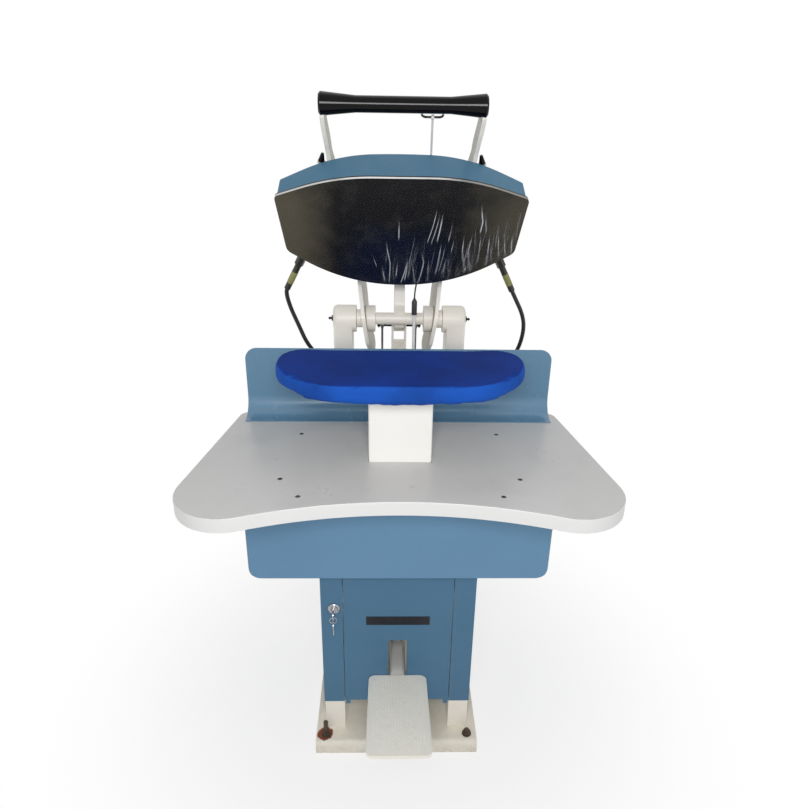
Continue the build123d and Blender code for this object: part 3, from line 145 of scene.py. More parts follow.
CABLE_ROUTE: list[Point] = [
    (0.068, 0.18827, 1.31075), (0.068, 0.20047, 1.28335), (0.038, 0.118, 1.23), (0.038, 0.118, 1.196),
]


class Slot(Enum):
    """The finishes of the press, by the name that the record gives them."""

    CASING = "casing_blue"
    APRON = "apron_blue"
    CREAM = "cream"
    LAMINATE = "table_laminate"
    PAD = "pad_cloth"
    WOOL = "insulation"
    PLATEN = "platen"
    CASTING = "casting"
    STEEL = "steel"
    ZINC = "zinc"
    BRIGHT = "bright"
    BRONZE = "bronze"
    BLACK_STEEL = "black_steel"
    WHITE_STEEL = "white_steel"
    GRIP = "handle_black"
    HOSE = "hose_rubber"
    RUBBER = "black_rubber"
    PIPE = "pipe"
    DARK_PLATE = "dark_plate"
    TREAD = "tread"


def srgb(red: float, green: float, blue: float) -> Colour:
    """A colour for a shader from values of 0 to 255 as a screen shows them.

    Args:
        red: Red value.
        green: Green value.
        blue: Blue value.

    Returns:
        The linear colour with full opacity.
    """
    parts = [value / 255.0 for value in (red, green, blue)]
    linear = [part / 12.92 if part <= 0.04045 else ((part + 0.055) / 1.055) ** 2.4 for part in parts]
    return (linear[0], linear[1], linear[2], 1.0)


def head_point(x: float, u: float, w: float) -> Vector:
    """A point on the open head, in metres, from the head's own directions.

    Args:
        x: Distance to the operator's right.
        u: Distance ahead of the pivot along the head.
        w: Height above the head's middle plane.

    Returns:
        The point in the shared frame.
    """
    return PIVOT + Vector((x, 0.0, 0.0)) + HEAD_FORWARD * u + HEAD_UP * w


def pedal_point(x: float, a: float, h: float) -> Vector:
    """A point on the pedal lever, in metres, from the axle.

    Args:
        x: Distance to the operator's right.
        a: Distance ahead of the axle along the lever.
        h: Height above the lever's middle line.

    Returns:
        The point in the shared frame.
    """
    return PEDAL_AXLE + Vector((x, 0.0, 0.0)) + PEDAL_FORWARD * a + PEDAL_UP * h


class Bench:
    """Adds nodes to one tree and joins their sockets."""

    def __init__(self, tree: bpy.types.NodeTree) -> None:
        """Holds the tree that the nodes go into."""
        self.tree = tree

    def add(self, kind: str, inputs: dict[Any, Any] | None = None, **settings: Any) -> bpy.types.Node:
        """Adds one node.

        Args:
            kind: The node's type.
            inputs: Values or output sockets by input name or number.
            **settings: Properties of the node itself.

        Returns:
            The new node.
        """
        node = self.tree.nodes.new(kind)
        for name, value in settings.items():
            setattr(node, name, value)
        self.fill(node, inputs or {})
        return node

    def out(self, kind: str, inputs: dict[Any, Any] | None = None, **settings: Any) -> Socket:
        """The first output of a new node, which takes what add takes."""
        return self.add(kind, inputs, **settings).outputs[0]

    def feed(self, target: Socket, value: Any) -> None:
        """Joins an output socket to a target, or writes a plain value on it.

        Args:
            target: The input socket.
            value: The output socket or the plain value.
        """
        if isinstance(value, bpy.types.NodeSocket):
            self.tree.links.new(value, target)
        else:
            target.default_value = value

    def fill(self, node: bpy.types.Node, values: dict[Any, Any]) -> None:
        """Feeds several inputs of a node, by their names or numbers."""
        for name, value in values.items():
            self.feed(node.inputs[name], value)

    def math(self, operation: str, first: Any, second: Any = 0.0) -> Socket:
        """The output of a Math node on two values."""
        return self.out("ShaderNodeMath", {0: first, 1: second}, operation=operation)

    def times(self, first: Any, second: Any) -> Socket:
        """The product of two values."""
        return self.math("MULTIPLY", first, second)

    def plus(self, first: Any, second: Any) -> Socket:
        """The sum of two values."""
        return self.math("ADD", first, second)

    def place(self, kind: str = "Object") -> Socket:
        """The piece's own coordinates, or another output of that node."""
        return self.add("ShaderNodeTexCoord").outputs[kind]

    def part(self, vector: Any, letter: str) -> Socket:
        """One part of a vector, by its letter."""
        return self.add("ShaderNodeSeparateXYZ", {0: vector}).outputs[letter]

    def vector(self, x: Any = 0.0, y: Any = 0.0, z: Any = 0.0) -> Socket:
        """A vector from its three parts."""
        return self.out("ShaderNodeCombineXYZ", {"X": x, "Y": y, "Z": z})

    def vectors(self, operation: str, inputs: dict[int, Any], output: str = "Value") -> Socket:
        """An output of a Vector Math node."""
        return self.add("ShaderNodeVectorMath", inputs, operation=operation).outputs[output]

    def ramp(
        self, value: Any, low: float, high: float, out_low: float = 0.0, out_high: float = 1.0,
    ) -> Socket:
        """A value mapped smoothly from one range to another and held inside it.

        Args:
            value: The value.
            low: Where the first range starts.
            high: Where it ends.
            out_low: What its start becomes.
            out_high: What its end becomes.

        Returns:
            The mapped value.
        """
        inputs = {"Value": value, "From Min": low, "From Max": high, "To Min": out_low, "To Max": out_high}
        return self.out("ShaderNodeMapRange", inputs, interpolation_type="SMOOTHSTEP")

    def blend(self, factor: Any, first: Any, second: Any) -> Socket:
        """Two colours mixed by a factor."""
        inputs = {0: factor, 6: first, 7: second}
        return self.add("ShaderNodeMix", inputs, data_type="RGBA", blend_type="MIX").outputs[2]

    def noise(self, place: Any, scale: Any, detail: float = 3.0, roughness: float = 0.5) -> Socket:
        """Plain noise on a place, between 0 and 1."""
        inputs = {"Vector": place, "Scale": scale, "Detail": detail, "Roughness": roughness}
        return self.add("ShaderNodeTexNoise", inputs).outputs["Fac"]

    def wander(
        self, place: Any, scale: float, reach: float, detail: float = 3.0, roughness: float = 0.5,
    ) -> Socket:
        """Noise that swings evenly to both sides of zero.

        Args:
            place: The coordinates.
            scale: The noise's scale.
            reach: Its whole swing.
            detail: Its detail.
            roughness: Its roughness.

        Returns:
            The swing.
        """
        return self.times(self.math("SUBTRACT", self.noise(place, scale, detail, roughness), 0.5), reach)


def socket_kind(start: Any) -> str:
    """The type of socket that a starting value asks for.

    Args:
        start: A number, a vector, a colour, or None for a material.

    Returns:
        The socket type's name.
    """
    if start is None:
        return "NodeSocketMaterial"
    if isinstance(start, int):
        return "NodeSocketInt"
    if isinstance(start, float):
        return "NodeSocketFloat"
    return "NodeSocketColor" if len(start) == 4 else "NodeSocketVector"


def name_sockets(tree: bpy.types.NodeTree, side: str, starts: dict[str, Any]) -> None:
    """Gives a tree its named sockets.

    Args:
        tree: The tree.
        side: INPUT or OUTPUT.
        starts: The starting value of each socket, by its name.
    """
    for label, start in starts.items():
        socket = tree.interface.new_socket(label, in_out=side, socket_type=socket_kind(start))
        if side == "INPUT" and start is not None:
            socket.default_value = start


class EffectGroup(Enum):
    """The effects that several finishes share, each one node group."""

    PAINT_SKIN = "paint_skin"
    EDGE_WEAR = "edge_wear"
    METAL_GRAIN = "metal_grain"
    CLOTH_WEAVE = "cloth_weave"


class Effect:
    """A shader group in the making, with its named sockets."""

    def __init__(self, kind: EffectGroup, inputs: dict[str, Any], outputs: dict[str, Any]) -> None:
        """Makes the group.

        Args:
            kind: Which effect it is.
            inputs: Starting value of each input.
            outputs: A value of each output's type.
        """
        self.tree = bpy.data.node_groups.new(kind.value, "ShaderNodeTree")
        name_sockets(self.tree, "INPUT", inputs)
        name_sockets(self.tree, "OUTPUT", outputs)
        self.bench = Bench(self.tree)
        self.given = self.bench.add("NodeGroupInput").outputs

    def end(self, values: dict[str, Socket]) -> bpy.types.NodeTree:
        """Feeds the group's outputs and gives the finished tree."""
        self.bench.add("NodeGroupOutput", values)
        return self.tree


def gloss_range(made: Effect, value: Socket, low: float = 0.0, high: float = 1.0) -> Socket:
    """Spreads a value over the gloss that a group is given.

    Args:
        made: The group.
        value: The value.
        low: The value at Gloss Low.
        high: The value at Gloss High.

    Returns:
        The roughness.
    """
    return made.bench.out("ShaderNodeMapRange", {
        "Value": value, "From Min": low, "From Max": high,
        "To Min": made.given["Gloss Low"], "To Max": made.given["Gloss High"],
    })


def paint_skin() -> bpy.types.NodeTree:
    """Enamel with faint patches, orange peel and an uneven gloss.

    Returns:
        The group.
    """
    made = Effect(EffectGroup.PAINT_SKIN, {
        "Colour": (0.5, 0.5, 0.5, 1.0), "Shade": (0.4, 0.4, 0.4, 1.0),
        "Patch Scale": 3.0, "Patch Amount": 0.5, "Peel Scale": 500.0, "Gloss Low": 0.3, "Gloss High": 0.4,
    }, {"Colour": (0.0, 0.0, 0.0, 1.0), "Roughness": 0.0, "Height": 0.0})
    bench, given = made.bench, made.given
    place = bench.place()
    patches = bench.ramp(bench.noise(place, given["Patch Scale"], 4.0), 0.35, 0.75)
    colour = bench.blend(bench.times(patches, given["Patch Amount"]), given["Colour"], given["Shade"])
    gloss = gloss_range(made, bench.noise(place, 14.0, 4.0, 0.6), 0.3, 0.7)
    peel = bench.noise(place, given["Peel Scale"], 1.5)
    return made.end({"Colour": colour, "Roughness": gloss, "Height": peel})


def edge_wear() -> bpy.types.NodeTree:
    """A mask of rubbed edges, broken up by noise.

    Returns:
        The group.
    """
    made = Effect(EffectGroup.EDGE_WEAR, {"Start": 0.56, "Full": 0.66, "Breakup": 60.0}, {"Mask": 0.0})
    bench, given = made.bench, made.given
    pointed = bench.add("ShaderNodeNewGeometry").outputs["Pointiness"]
    inputs = {"Value": pointed, "From Min": given["Start"], "From Max": given["Full"]}
    breaks = bench.noise(bench.place(), given["Breakup"], 5.0, 0.65)
    edges = bench.out("ShaderNodeMapRange", inputs)
    return made.end({"Mask": bench.times(edges, bench.ramp(breaks, 0.45, 0.62))})


def metal_grain() -> bpy.types.NodeTree:
    """Drawn or turned metal: a stretched grain with dull spots.

    Returns:
        The group.
    """
    made = Effect(EffectGroup.METAL_GRAIN, {
        "Colour": (0.6, 0.6, 0.6, 1.0), "Dark": (0.3, 0.3, 0.3, 1.0), "Stretch": (1.0, 1.0, 1.0), "Dull": 0.5,
        "Gloss Low": 0.25, "Gloss High": 0.4,
    }, {"Colour": (0.0, 0.0, 0.0, 1.0), "Roughness": 0.0, "Height": 0.0})
    bench, given = made.bench, made.given
    place = bench.place()
    grain = bench.noise(bench.vectors("MULTIPLY", {0: place, 1: given["Stretch"]}, "Vector"), 900.0, 3.0, 0.6)
    spots = bench.ramp(bench.noise(place, 45.0, 5.0, 0.6), 0.42, 0.72)
    colour = bench.blend(bench.times(spots, given["Dull"]), given["Colour"], given["Dark"])
    gloss = gloss_range(made, bench.plus(bench.times(spots, 0.6), bench.times(grain, 0.4)))
    return made.end({"Colour": colour, "Roughness": gloss, "Height": grain})


def cloth_weave() -> bpy.types.NodeTree:
    """Threads that cross at a given pitch, with soft colour changes.

    Returns:
        The group.
    """
    made = Effect(EffectGroup.CLOTH_WEAVE, {
        "Colour": (0.1, 0.2, 0.6, 1.0), "Shade": (0.05, 0.1, 0.4, 1.0), "Threads": 450.0,
    }, {"Colour": (0.0, 0.0, 0.0, 1.0), "Height": 0.0})
    bench, given = made.bench, made.given
    place = bench.place()
    waves = []
    for axis in ("X", "Y", "Z"):
        inputs = {"Vector": place, "Distortion": 0.3, "Detail": 0.0, "Scale": given["Threads"]}
        waves.append(bench.add("ShaderNodeTexWave", inputs, bands_direction=axis).outputs["Fac"])
    crossed = bench.plus(bench.times(waves[0], waves[1]), bench.times(waves[0], waves[2]))
    soft = bench.ramp(bench.noise(place, 9.0, 4.0), 0.3, 0.75, 0.0, 0.7)
    shade = bench.plus(soft, bench.times(crossed, 0.12))
    return made.end({"Colour": bench.blend(shade, given["Colour"], given["Shade"]), "Height": crossed})


GROUP_MAKERS: dict[EffectGroup, Callable[[], bpy.types.NodeTree]] = {
    EffectGroup.PAINT_SKIN: paint_skin,
    EffectGroup.EDGE_WEAR: edge_wear,
    EffectGroup.METAL_GRAIN: metal_grain,
    EffectGroup.CLOTH_WEAVE: cloth_weave,
}


def effect(bench: Bench, kind: EffectGroup, inputs: dict[str, Any] | None = None) -> bpy.types.Node:
    """Places a shared effect in a material, and makes its group the first time.

    Args:
        bench: The material's bench.
        kind: Which effect.
        inputs: The group's values by name.

    Returns:
        The group node.
    """
    tree = bpy.data.node_groups.get(kind.value) or GROUP_MAKERS[kind]()
    node = bench.add("ShaderNodeGroup", node_tree=tree)
    bench.fill(node, inputs or {})
    return node


def blank_tree(holder: Material | bpy.types.World) -> Bench:
    """Empties the node tree of a new material or world.

    Args:
        holder: The material or the world.

    Returns:
        A bench on its tree.
    """
    holder.use_nodes = True
    holder.node_tree.nodes.clear()
    return Bench(holder.node_tree)


def bump(bench: Bench, shader: bpy.types.Node, height: Any, strength: float, distance: float) -> None:
    """Gives a shader a bump from a height."""
    inputs = {"Strength": strength, "Distance": distance, "Height": height}
    bench.feed(shader.inputs["Normal"], bench.out("ShaderNodeBump", inputs))


@dataclass(frozen=True)
class Finish:
    """A material with one Principled shader, which each kind of finish dresses."""

    name: str

    def make(self) -> Material:
        """Builds the material.

        Returns:
            The material.
        """
        material = bpy.data.materials.new(self.name)
        bench = blank_tree(material)
        shader = bench.add("ShaderNodeBsdfPrincipled")
        bench.add("ShaderNodeOutputMaterial", {"Surface": shader.outputs["BSDF"]})
        self.dress(bench, shader)
        return material

    def dress(self, bench: Bench, shader: bpy.types.Node) -> None:
        """Feeds the shader, in a way that each kind of finish gives."""
        raise NotImplementedError


@dataclass(frozen=True)
class Enamel(Finish):
    """Sprayed enamel on steel, with faint patches and rubbed edges."""

    colour: Colour
    shade: Colour
    gloss: tuple[float, float] = (0.30, 0.42)
    coat: float = 0.12
    wear: float = 0.35
    wear_colour: Colour = srgb(150, 148, 140)
    specular: float = 0.25
    peel: float = 0.10
    patch_scale: float = 2.6
    patch_amount: float = 0.55

    def dress(self, bench: Bench, shader: bpy.types.Node) -> None:
        """Paints the shader.

        Args:
            bench: The material's bench.
            shader: Its shader.
        """
        skin = effect(bench, EffectGroup.PAINT_SKIN, {
            "Colour": self.colour, "Shade": self.shade, "Patch Scale": self.patch_scale,
            "Patch Amount": self.patch_amount, "Gloss Low": self.gloss[0], "Gloss High": self.gloss[1],
        }).outputs
        amount = bench.times(effect(bench, EffectGroup.EDGE_WEAR).outputs["Mask"], self.wear)
        colour = bench.blend(amount, skin["Colour"], self.wear_colour)
        bench.fill(shader, {
            "Base Color": self.finish_colour(bench, colour), "Roughness": skin["Roughness"],
            "Coat Weight": self.coat, "Coat Roughness": 0.18, "Specular IOR Level": self.specular,
        })
        bump(bench, shader, skin["Height"], self.peel, 0.0004)

    def finish_colour(self, bench: Bench, colour: Socket) -> Socket:
        """The last step of the colour, which a special enamel changes."""
        return colour


@dataclass(frozen=True)
class BaseEnamel(Enamel):
    """The base's cream enamel, dusty and with red primer showing round the left front bolt."""

    bolt: Point = (-0.200, -0.236, 0.040)
    primer: Colour = srgb(132, 70, 52)
    primer_reach: float = 0.023
    dust: Colour = srgb(180, 172, 154)
    dust_height: float = 0.08

    def finish_colour(self, bench: Bench, colour: Socket) -> Socket:
        """Adds floor dust near the ground and the primer patch.

        Args:
            bench: The material's bench.
            colour: The enamel's colour.

        Returns:
            The dusty and patched colour.
        """
        place = bench.place()
        speck = bench.noise(place, 55.0, 5.0, 0.7)
        low = bench.ramp(bench.part(place, "Z"), self.dust_height, 0.0)
        dusty = bench.blend(bench.times(low, bench.ramp(speck, 0.40, 0.75, 0.06, 0.34)), colour, self.dust)
        gap = bench.vectors("DISTANCE", {0: place, 1: self.bolt})
        ragged = bench.plus(gap, bench.times(bench.math("SUBTRACT", speck, 0.5), 0.020))
        patch = bench.ramp(ragged, self.primer_reach, self.primer_reach - 0.004)
        return bench.blend(patch, dusty, self.primer)


@dataclass(frozen=True)
class ArmEnamel(Enamel):
    """Cream enamel on the arms, with painted shade in tan on the faces that look at each other."""

    painted_inner_shade: Colour = srgb(150, 142, 116)

    def finish_colour(self, bench: Bench, colour: Socket) -> Socket:
        """Paints shade on the faces whose outward direction points to the middle.

        Args:
            bench: The material's bench.
            colour: The enamel's colour.

        Returns:
            The colour with painted shade on the faces towards the middle.
        """
        side = bench.math("SIGN", bench.part(bench.place(), "X"))
        outward = bench.times(bench.part(bench.place("Normal"), "X"), side)
        # painted shade: the faces that look at each other are blended to the tan colour
        return bench.blend(bench.ramp(outward, -0.5, -0.9, 0.0, 0.85), colour, self.painted_inner_shade)


@dataclass(frozen=True)
class RodEnamel(Enamel):
    """White enamel on the valve rod that ends under its dark clevis."""

    clevis: Colour = srgb(52, 52, 54)
    clevis_z: float = 1.1531

    def finish_colour(self, bench: Bench, colour: Socket) -> Socket:
        """Darkens the rod above the clevis's lower end."""
        above = bench.math("GREATER_THAN", bench.part(bench.place(), "Z"), self.clevis_z)
        return bench.blend(above, colour, self.clevis)


@dataclass(frozen=True)
class Metal(Finish):
    """Bare or plated metal."""

    colour: Colour
    dark: Colour
    gloss: tuple[float, float] = (0.25, 0.40)
    stretch: Point = (1.0, 1.0, 1.0)
    dull: float = 0.5
    metallic: float = 1.0
    relief: float = 0.06

    def dress(self, bench: Bench, shader: bpy.types.Node) -> None:
        """Gives the shader its grain.

        Args:
            bench: The material's bench.
            shader: Its shader.
        """
        grain = effect(bench, EffectGroup.METAL_GRAIN, {
            "Colour": self.colour, "Dark": self.dark, "Stretch": self.stretch, "Dull": self.dull,
            "Gloss Low": self.gloss[0], "Gloss High": self.gloss[1],
        }).outputs
        bench.fill(shader, {
            "Base Color": grain["Colour"], "Roughness": grain["Roughness"], "Metallic": self.metallic,
        })
        bump(bench, shader, grain["Height"], self.relief, 0.0003)


@dataclass(frozen=True)
class Moulding(Finish):
    """Rubber, wool or moulded plastic in one colour with a fine surface."""

    colour: Colour
    shade: Colour
    gloss: tuple[float, float] = (0.45, 0.6)
    grain: float = 900.0
    relief: float = 0.15
    specular: float = 0.5

    def dress(self, bench: Bench, shader: bpy.types.Node) -> None:
        """Gives the shader its fine surface.

        Args:
            bench: The material's bench.
            shader: Its shader.
        """
        skin = effect(bench, EffectGroup.PAINT_SKIN, {
            "Colour": self.colour, "Shade": self.shade, "Patch Scale": 12.0, "Patch Amount": 0.7,
            "Peel Scale": self.grain, "Gloss Low": self.gloss[0], "Gloss High": self.gloss[1],
        }).outputs
        bench.fill(shader, {
            "Base Color": skin["Colour"], "Roughness": skin["Roughness"], "Specular IOR Level": self.specular,
        })
        bump(bench, shader, skin["Height"], self.relief, 0.0004)


@dataclass(frozen=True)
class Laminate(Finish):
    """Table board: grey laminate on the faces and a paler band round the edge."""

    face: Colour
    band: Colour
    speckle: Colour = srgb(214, 213, 210)
    smudge: Colour = srgb(166, 165, 163)
    face_z: float = 0.8797

    def dress(self, bench: Bench, shader: bpy.types.Node) -> None:
        """Parts the face from the band.

        Args:
            bench: The material's bench.
            shader: Its shader.
        """
        place = bench.place()
        speck = bench.ramp(bench.noise(place, 420.0, 2.0, 0.6), 0.35, 0.7, 0.0, 0.16)
        smudged = bench.ramp(bench.noise(place, 5.5, 5.0, 0.62), 0.45, 0.72, 0.0, 0.20)
        face = bench.blend(smudged, bench.blend(speck, self.face, self.speckle), self.smudge)
        level = bench.ramp(bench.part(bench.place("Normal"), "Z"), 0.72, 0.90)
        raised = bench.ramp(bench.part(place, "Z"), self.face_z - 0.004, self.face_z - 0.002)
        flat = bench.times(level, raised)
        bench.fill(shader, {
            "Base Color": bench.blend(flat, self.band, face),
            "Roughness": bench.ramp(bench.noise(place, 7.0, 4.0, 0.6), 0.3, 0.8, 0.27, 0.36),
        })
        bump(bench, shader, bench.noise(place, 750.0, 2.0), 0.04, 0.0003)


@dataclass(frozen=True)
class PadCloth(Finish):
    """Royal blue cover cloth, darker on the top as painted shade and lighter on the sides as painted light.
    """

    top: Colour
    side: Colour
    deep: Colour = srgb(10, 20, 70)
    sheen: Colour = srgb(70, 120, 230)

    def dress(self, bench: Bench, shader: bpy.types.Node) -> None:
        """Weaves the cloth.

        Args:
            bench: The material's bench.
            shader: Its shader.
        """
        place = bench.place()
        # painted shade and light: faces that look up take the darker top colour, the others the lighter side
        # colour
        upright = bench.part(bench.place("Normal"), "Z")
        painted_top_shade = bench.ramp(bench.plus(upright, bench.wander(place, 12.0, 0.08)), 0.55, 1.0)
        base = bench.blend(painted_top_shade, self.side, self.top)
        darker = bench.blend(0.55, base, self.deep)
        weave = effect(bench, EffectGroup.CLOTH_WEAVE, {
            "Colour": base, "Shade": darker, "Threads": 420.0,
        }).outputs
        bench.fill(shader, {
            "Base Color": weave["Colour"], "Roughness": 0.78, "Specular IOR Level": 0.15,
            "Sheen Weight": 0.05, "Sheen Roughness": 0.5, "Sheen Tint": self.sheen,
        })
        pulls = bench.noise(place, 38.0, 4.0, 0.55)
        height = bench.plus(bench.times(weave["Height"], 0.35), bench.times(pulls, 0.9))
        bump(bench, shader, height, 0.14, 0.0010)


@dataclass(frozen=True)
class Platen(Finish):
    """The heated shoe: a dark face with painted brown and navy reflections, and a polished rim above it that
    is painted as a bright highlight band.
    """

    dark: Colour = srgb(22, 22, 23)
    brown_reflection: Colour = srgb(84, 79, 66)
    navy_reflection: Colour = srgb(12, 20, 40)
    haze: Colour = srgb(92, 88, 82)
    rim: Colour = srgb(196, 196, 196)
    face_w: float = -0.0193
    bright_w: float = -0.0125

    def dress(self, bench: Bench, shader: bpy.types.Node) -> None:
        """Paints reflections on the face by its place on the head, and paints the rim's highlight band apart
        from it.

        Args:
            bench: The material's bench.
            shader: Its shader.
        """
        place = bench.place()
        reach = bench.vectors("SUBTRACT", {0: place, 1: tuple(PIVOT)}, "Vector")
        up = bench.vectors("DOT_PRODUCT", {0: reach, 1: tuple(HEAD_UP)})
        along = bench.vectors("DOT_PRODUCT", {0: reach, 1: tuple(HEAD_FORWARD)})
        wander = bench.wander(place, 9.0, 0.16, 5.0, 0.6)
        across = bench.plus(bench.part(place, "X"), wander)
        # painted reflections: brown towards both sides and navy at the rear middle, on the dark face
        left = bench.ramp(across, -0.13, -0.27)
        right = bench.ramp(across, 0.13, 0.29, 0.0, 0.75)
        sides = bench.math("MAXIMUM", left, right)
        middle = bench.ramp(bench.math("ABSOLUTE", across), 0.17, 0.07)
        rear = bench.times(bench.ramp(bench.plus(along, wander), 0.34, 0.22), middle)
        colour = bench.blend(rear, bench.blend(sides, self.dark, self.brown_reflection), self.navy_reflection)
        haze = bench.ramp(bench.noise(place, 26.0, 5.0, 0.65), 0.45, 0.75, 0.0, 0.12)
        colour = bench.blend(haze, colour, self.haze)
        # painted highlight: only a band of the rim below bright_w is bright metal, dimmed towards the right;
        # above that band the rim keeps the dark face colour as painted shade under the cover's edge
        above = bench.ramp(up, self.face_w, self.face_w + 0.0004)
        below = bench.ramp(up, self.bright_w + 0.0012, self.bright_w)
        rim = bench.times(bench.times(above, below), bench.ramp(across, 0.18, 0.02, 0.45, 1.0))
        bench.fill(shader, {
            "Base Color": bench.blend(rim, colour, self.rim), "Metallic": rim,
            "Roughness": bench.ramp(haze, 0.0, 0.12, 0.36, 0.46), "Specular IOR Level": 0.12,
        })
        bump(bench, shader, bench.noise(place, 60.0, 3.0, 0.5), 0.03, 0.0005)


@dataclass(frozen=True)
class ClearFilm(Finish):
    """Clear wrapping film with painted highlights along its creases. Its mesh carries the creases as an
    attribute.
    """

    plain: Colour = srgb(120, 122, 126)
    creased: Colour = srgb(224, 226, 232)
    attribute: str = "crease"

    def dress(self, bench: Bench, shader: bpy.types.Node) -> None:
        """Paints highlights along the creases and shows little else.

        Args:
            bench: The material's bench.
            shader: Its shader.
        """
        crease = bench.add("ShaderNodeAttribute", attribute_name=self.attribute).outputs["Fac"]
        place = bench.place()
        # painted highlight: the creases are painted near white and made more opaque
        broken = bench.times(crease, bench.ramp(bench.noise(place, 34.0, 3.0), 0.25, 0.55, 0.7, 1.0))
        bench.fill(shader, {
            "Base Color": bench.blend(broken, self.plain, self.creased),
            "Alpha": bench.ramp(broken, 0.0, 1.0, 0.02, 0.86), "Roughness": 0.3, "Specular IOR Level": 0.3,
        })
        bump(bench, shader, bench.noise(place, 30.0, 3.0), 0.10, 0.0010)


def all_finishes() -> dict[Slot, Material]:
    """Every finish of the press.

    Returns:
        The materials by slot.
    """
    finishes = {
        Slot.CASING: Enamel(
            "casing_enamel", srgb(81, 120, 149), srgb(72, 109, 138), coat=0.03, wear=0.25, specular=0.15,
        ),
        Slot.APRON: Enamel("apron_enamel", srgb(102, 143, 175), srgb(93, 132, 164), coat=0.05, wear=0.2),
        Slot.CREAM: Enamel(
            "cream_enamel", srgb(244, 239, 229), srgb(232, 225, 211), wear_colour=srgb(186, 176, 156),
        ),
        Slot.LAMINATE: Laminate("table_laminate_board", srgb(203, 202, 201), srgb(230, 230, 229)),
        # the pad's darker top colour and lighter side colour are painted shade and light
        Slot.PAD: PadCloth("pad_cover_cloth_painted_light", srgb(16, 56, 146), srgb(28, 88, 188)),
        Slot.WOOL: Moulding("mineral_wool", srgb(205, 196, 160), srgb(176, 164, 128), (0.9, 1.0), 260.0, 0.9),
        # the platen paints reflections on its face and a highlight band on its rim
        Slot.PLATEN: Platen("platen_face_painted_reflections_and_rim"),
        Slot.CASTING: Metal(
            "cast_aluminium", srgb(176, 176, 174), srgb(120, 120, 118), (0.5, 0.65), relief=0.5,
        ),
        Slot.STEEL: Metal(
            "machined_steel", srgb(176, 176, 178), srgb(104, 100, 96), stretch=(0.06, 1.0, 1.0),
        ),
        Slot.ZINC: Metal("zinc_plate", srgb(190, 190, 186), srgb(124, 120, 110), (0.28, 0.45)),
        Slot.BRIGHT: Metal("bright_plate", srgb(176, 176, 178), srgb(110, 110, 112), (0.16, 0.26), dull=0.4),
        Slot.BRONZE: Metal("bearing_bronze", srgb(188, 146, 82), srgb(116, 84, 44), (0.3, 0.45)),
        Slot.BLACK_STEEL: Enamel(
            "black_enamel", srgb(24, 24, 26), srgb(34, 34, 36), (0.2, 0.32), coat=0.3, wear=0.4,
        ),
        Slot.WHITE_STEEL: Enamel("white_enamel", srgb(232, 232, 230), srgb(214, 214, 210), wear=0.3),
        Slot.GRIP: Moulding(
            "black_phenolic", srgb(8, 7, 10), srgb(12, 11, 14), (0.07, 0.12), 700.0, 0.01, 0.16,
        ),
        Slot.HOSE: Moulding("steam_hose_rubber", srgb(24, 24, 25), srgb(40, 39, 38), (0.38, 0.52)),
        Slot.RUBBER: Moulding("black_rubber", srgb(22, 22, 23), srgb(36, 36, 36), (0.5, 0.65)),
        Slot.PIPE: Metal("dull_pipe", srgb(132, 128, 122), srgb(88, 76, 62), (0.4, 0.6), dull=0.8),
        Slot.DARK_PLATE: Metal(
            "dark_anodised_plate", srgb(26, 28, 36), srgb(40, 42, 50), (0.3, 0.4), (0.05, 1.0, 1.0),
            metallic=0.4,
        ),
        Slot.TREAD: Enamel(
            "tread_enamel", srgb(255, 249, 236), srgb(250, 243, 229), coat=0.35, wear=0.5,
            wear_colour=srgb(176, 170, 158), specular=0.5,
        ),
    }
    return {slot: finish.make() for slot, finish in finishes.items()}


def link(piece: Piece) -> Piece:
    """Puts an object in the scene and gives it back."""
    bpy.context.scene.collection.objects.link(piece)
    return piece


def live_mesh(piece: Piece) -> bpy.types.Mesh:
    """The plain mesh that a piece shows with its modifiers or its curve settings.

    Args:
        piece: The object.

    Returns:
        A new mesh.
    """
    bpy.context.view_layer.update()
    graph = bpy.context.evaluated_depsgraph_get()
    return bpy.data.meshes.new_from_object(
        piece.evaluated_get(graph), preserve_all_data_layers=True, depsgraph=graph,
    )


def settled(piece: Piece) -> Piece:
    """Turns a piece's modifiers into its plain mesh.

    Args:
        piece: The object with live modifiers.

    Returns:
        The same object, with its result as its mesh.
    """
    mesh = live_mesh(piece)
    piece.modifiers.clear()
    piece.data = mesh
    return piece


def smooth(mesh: bpy.types.Mesh, angle: float = 32.0) -> None:
    """Shades a mesh smoothly, with sharp edges past an angle in degrees."""
    mesh.shade_smooth()
    mesh.set_sharp_from_angle(angle=math.radians(angle))


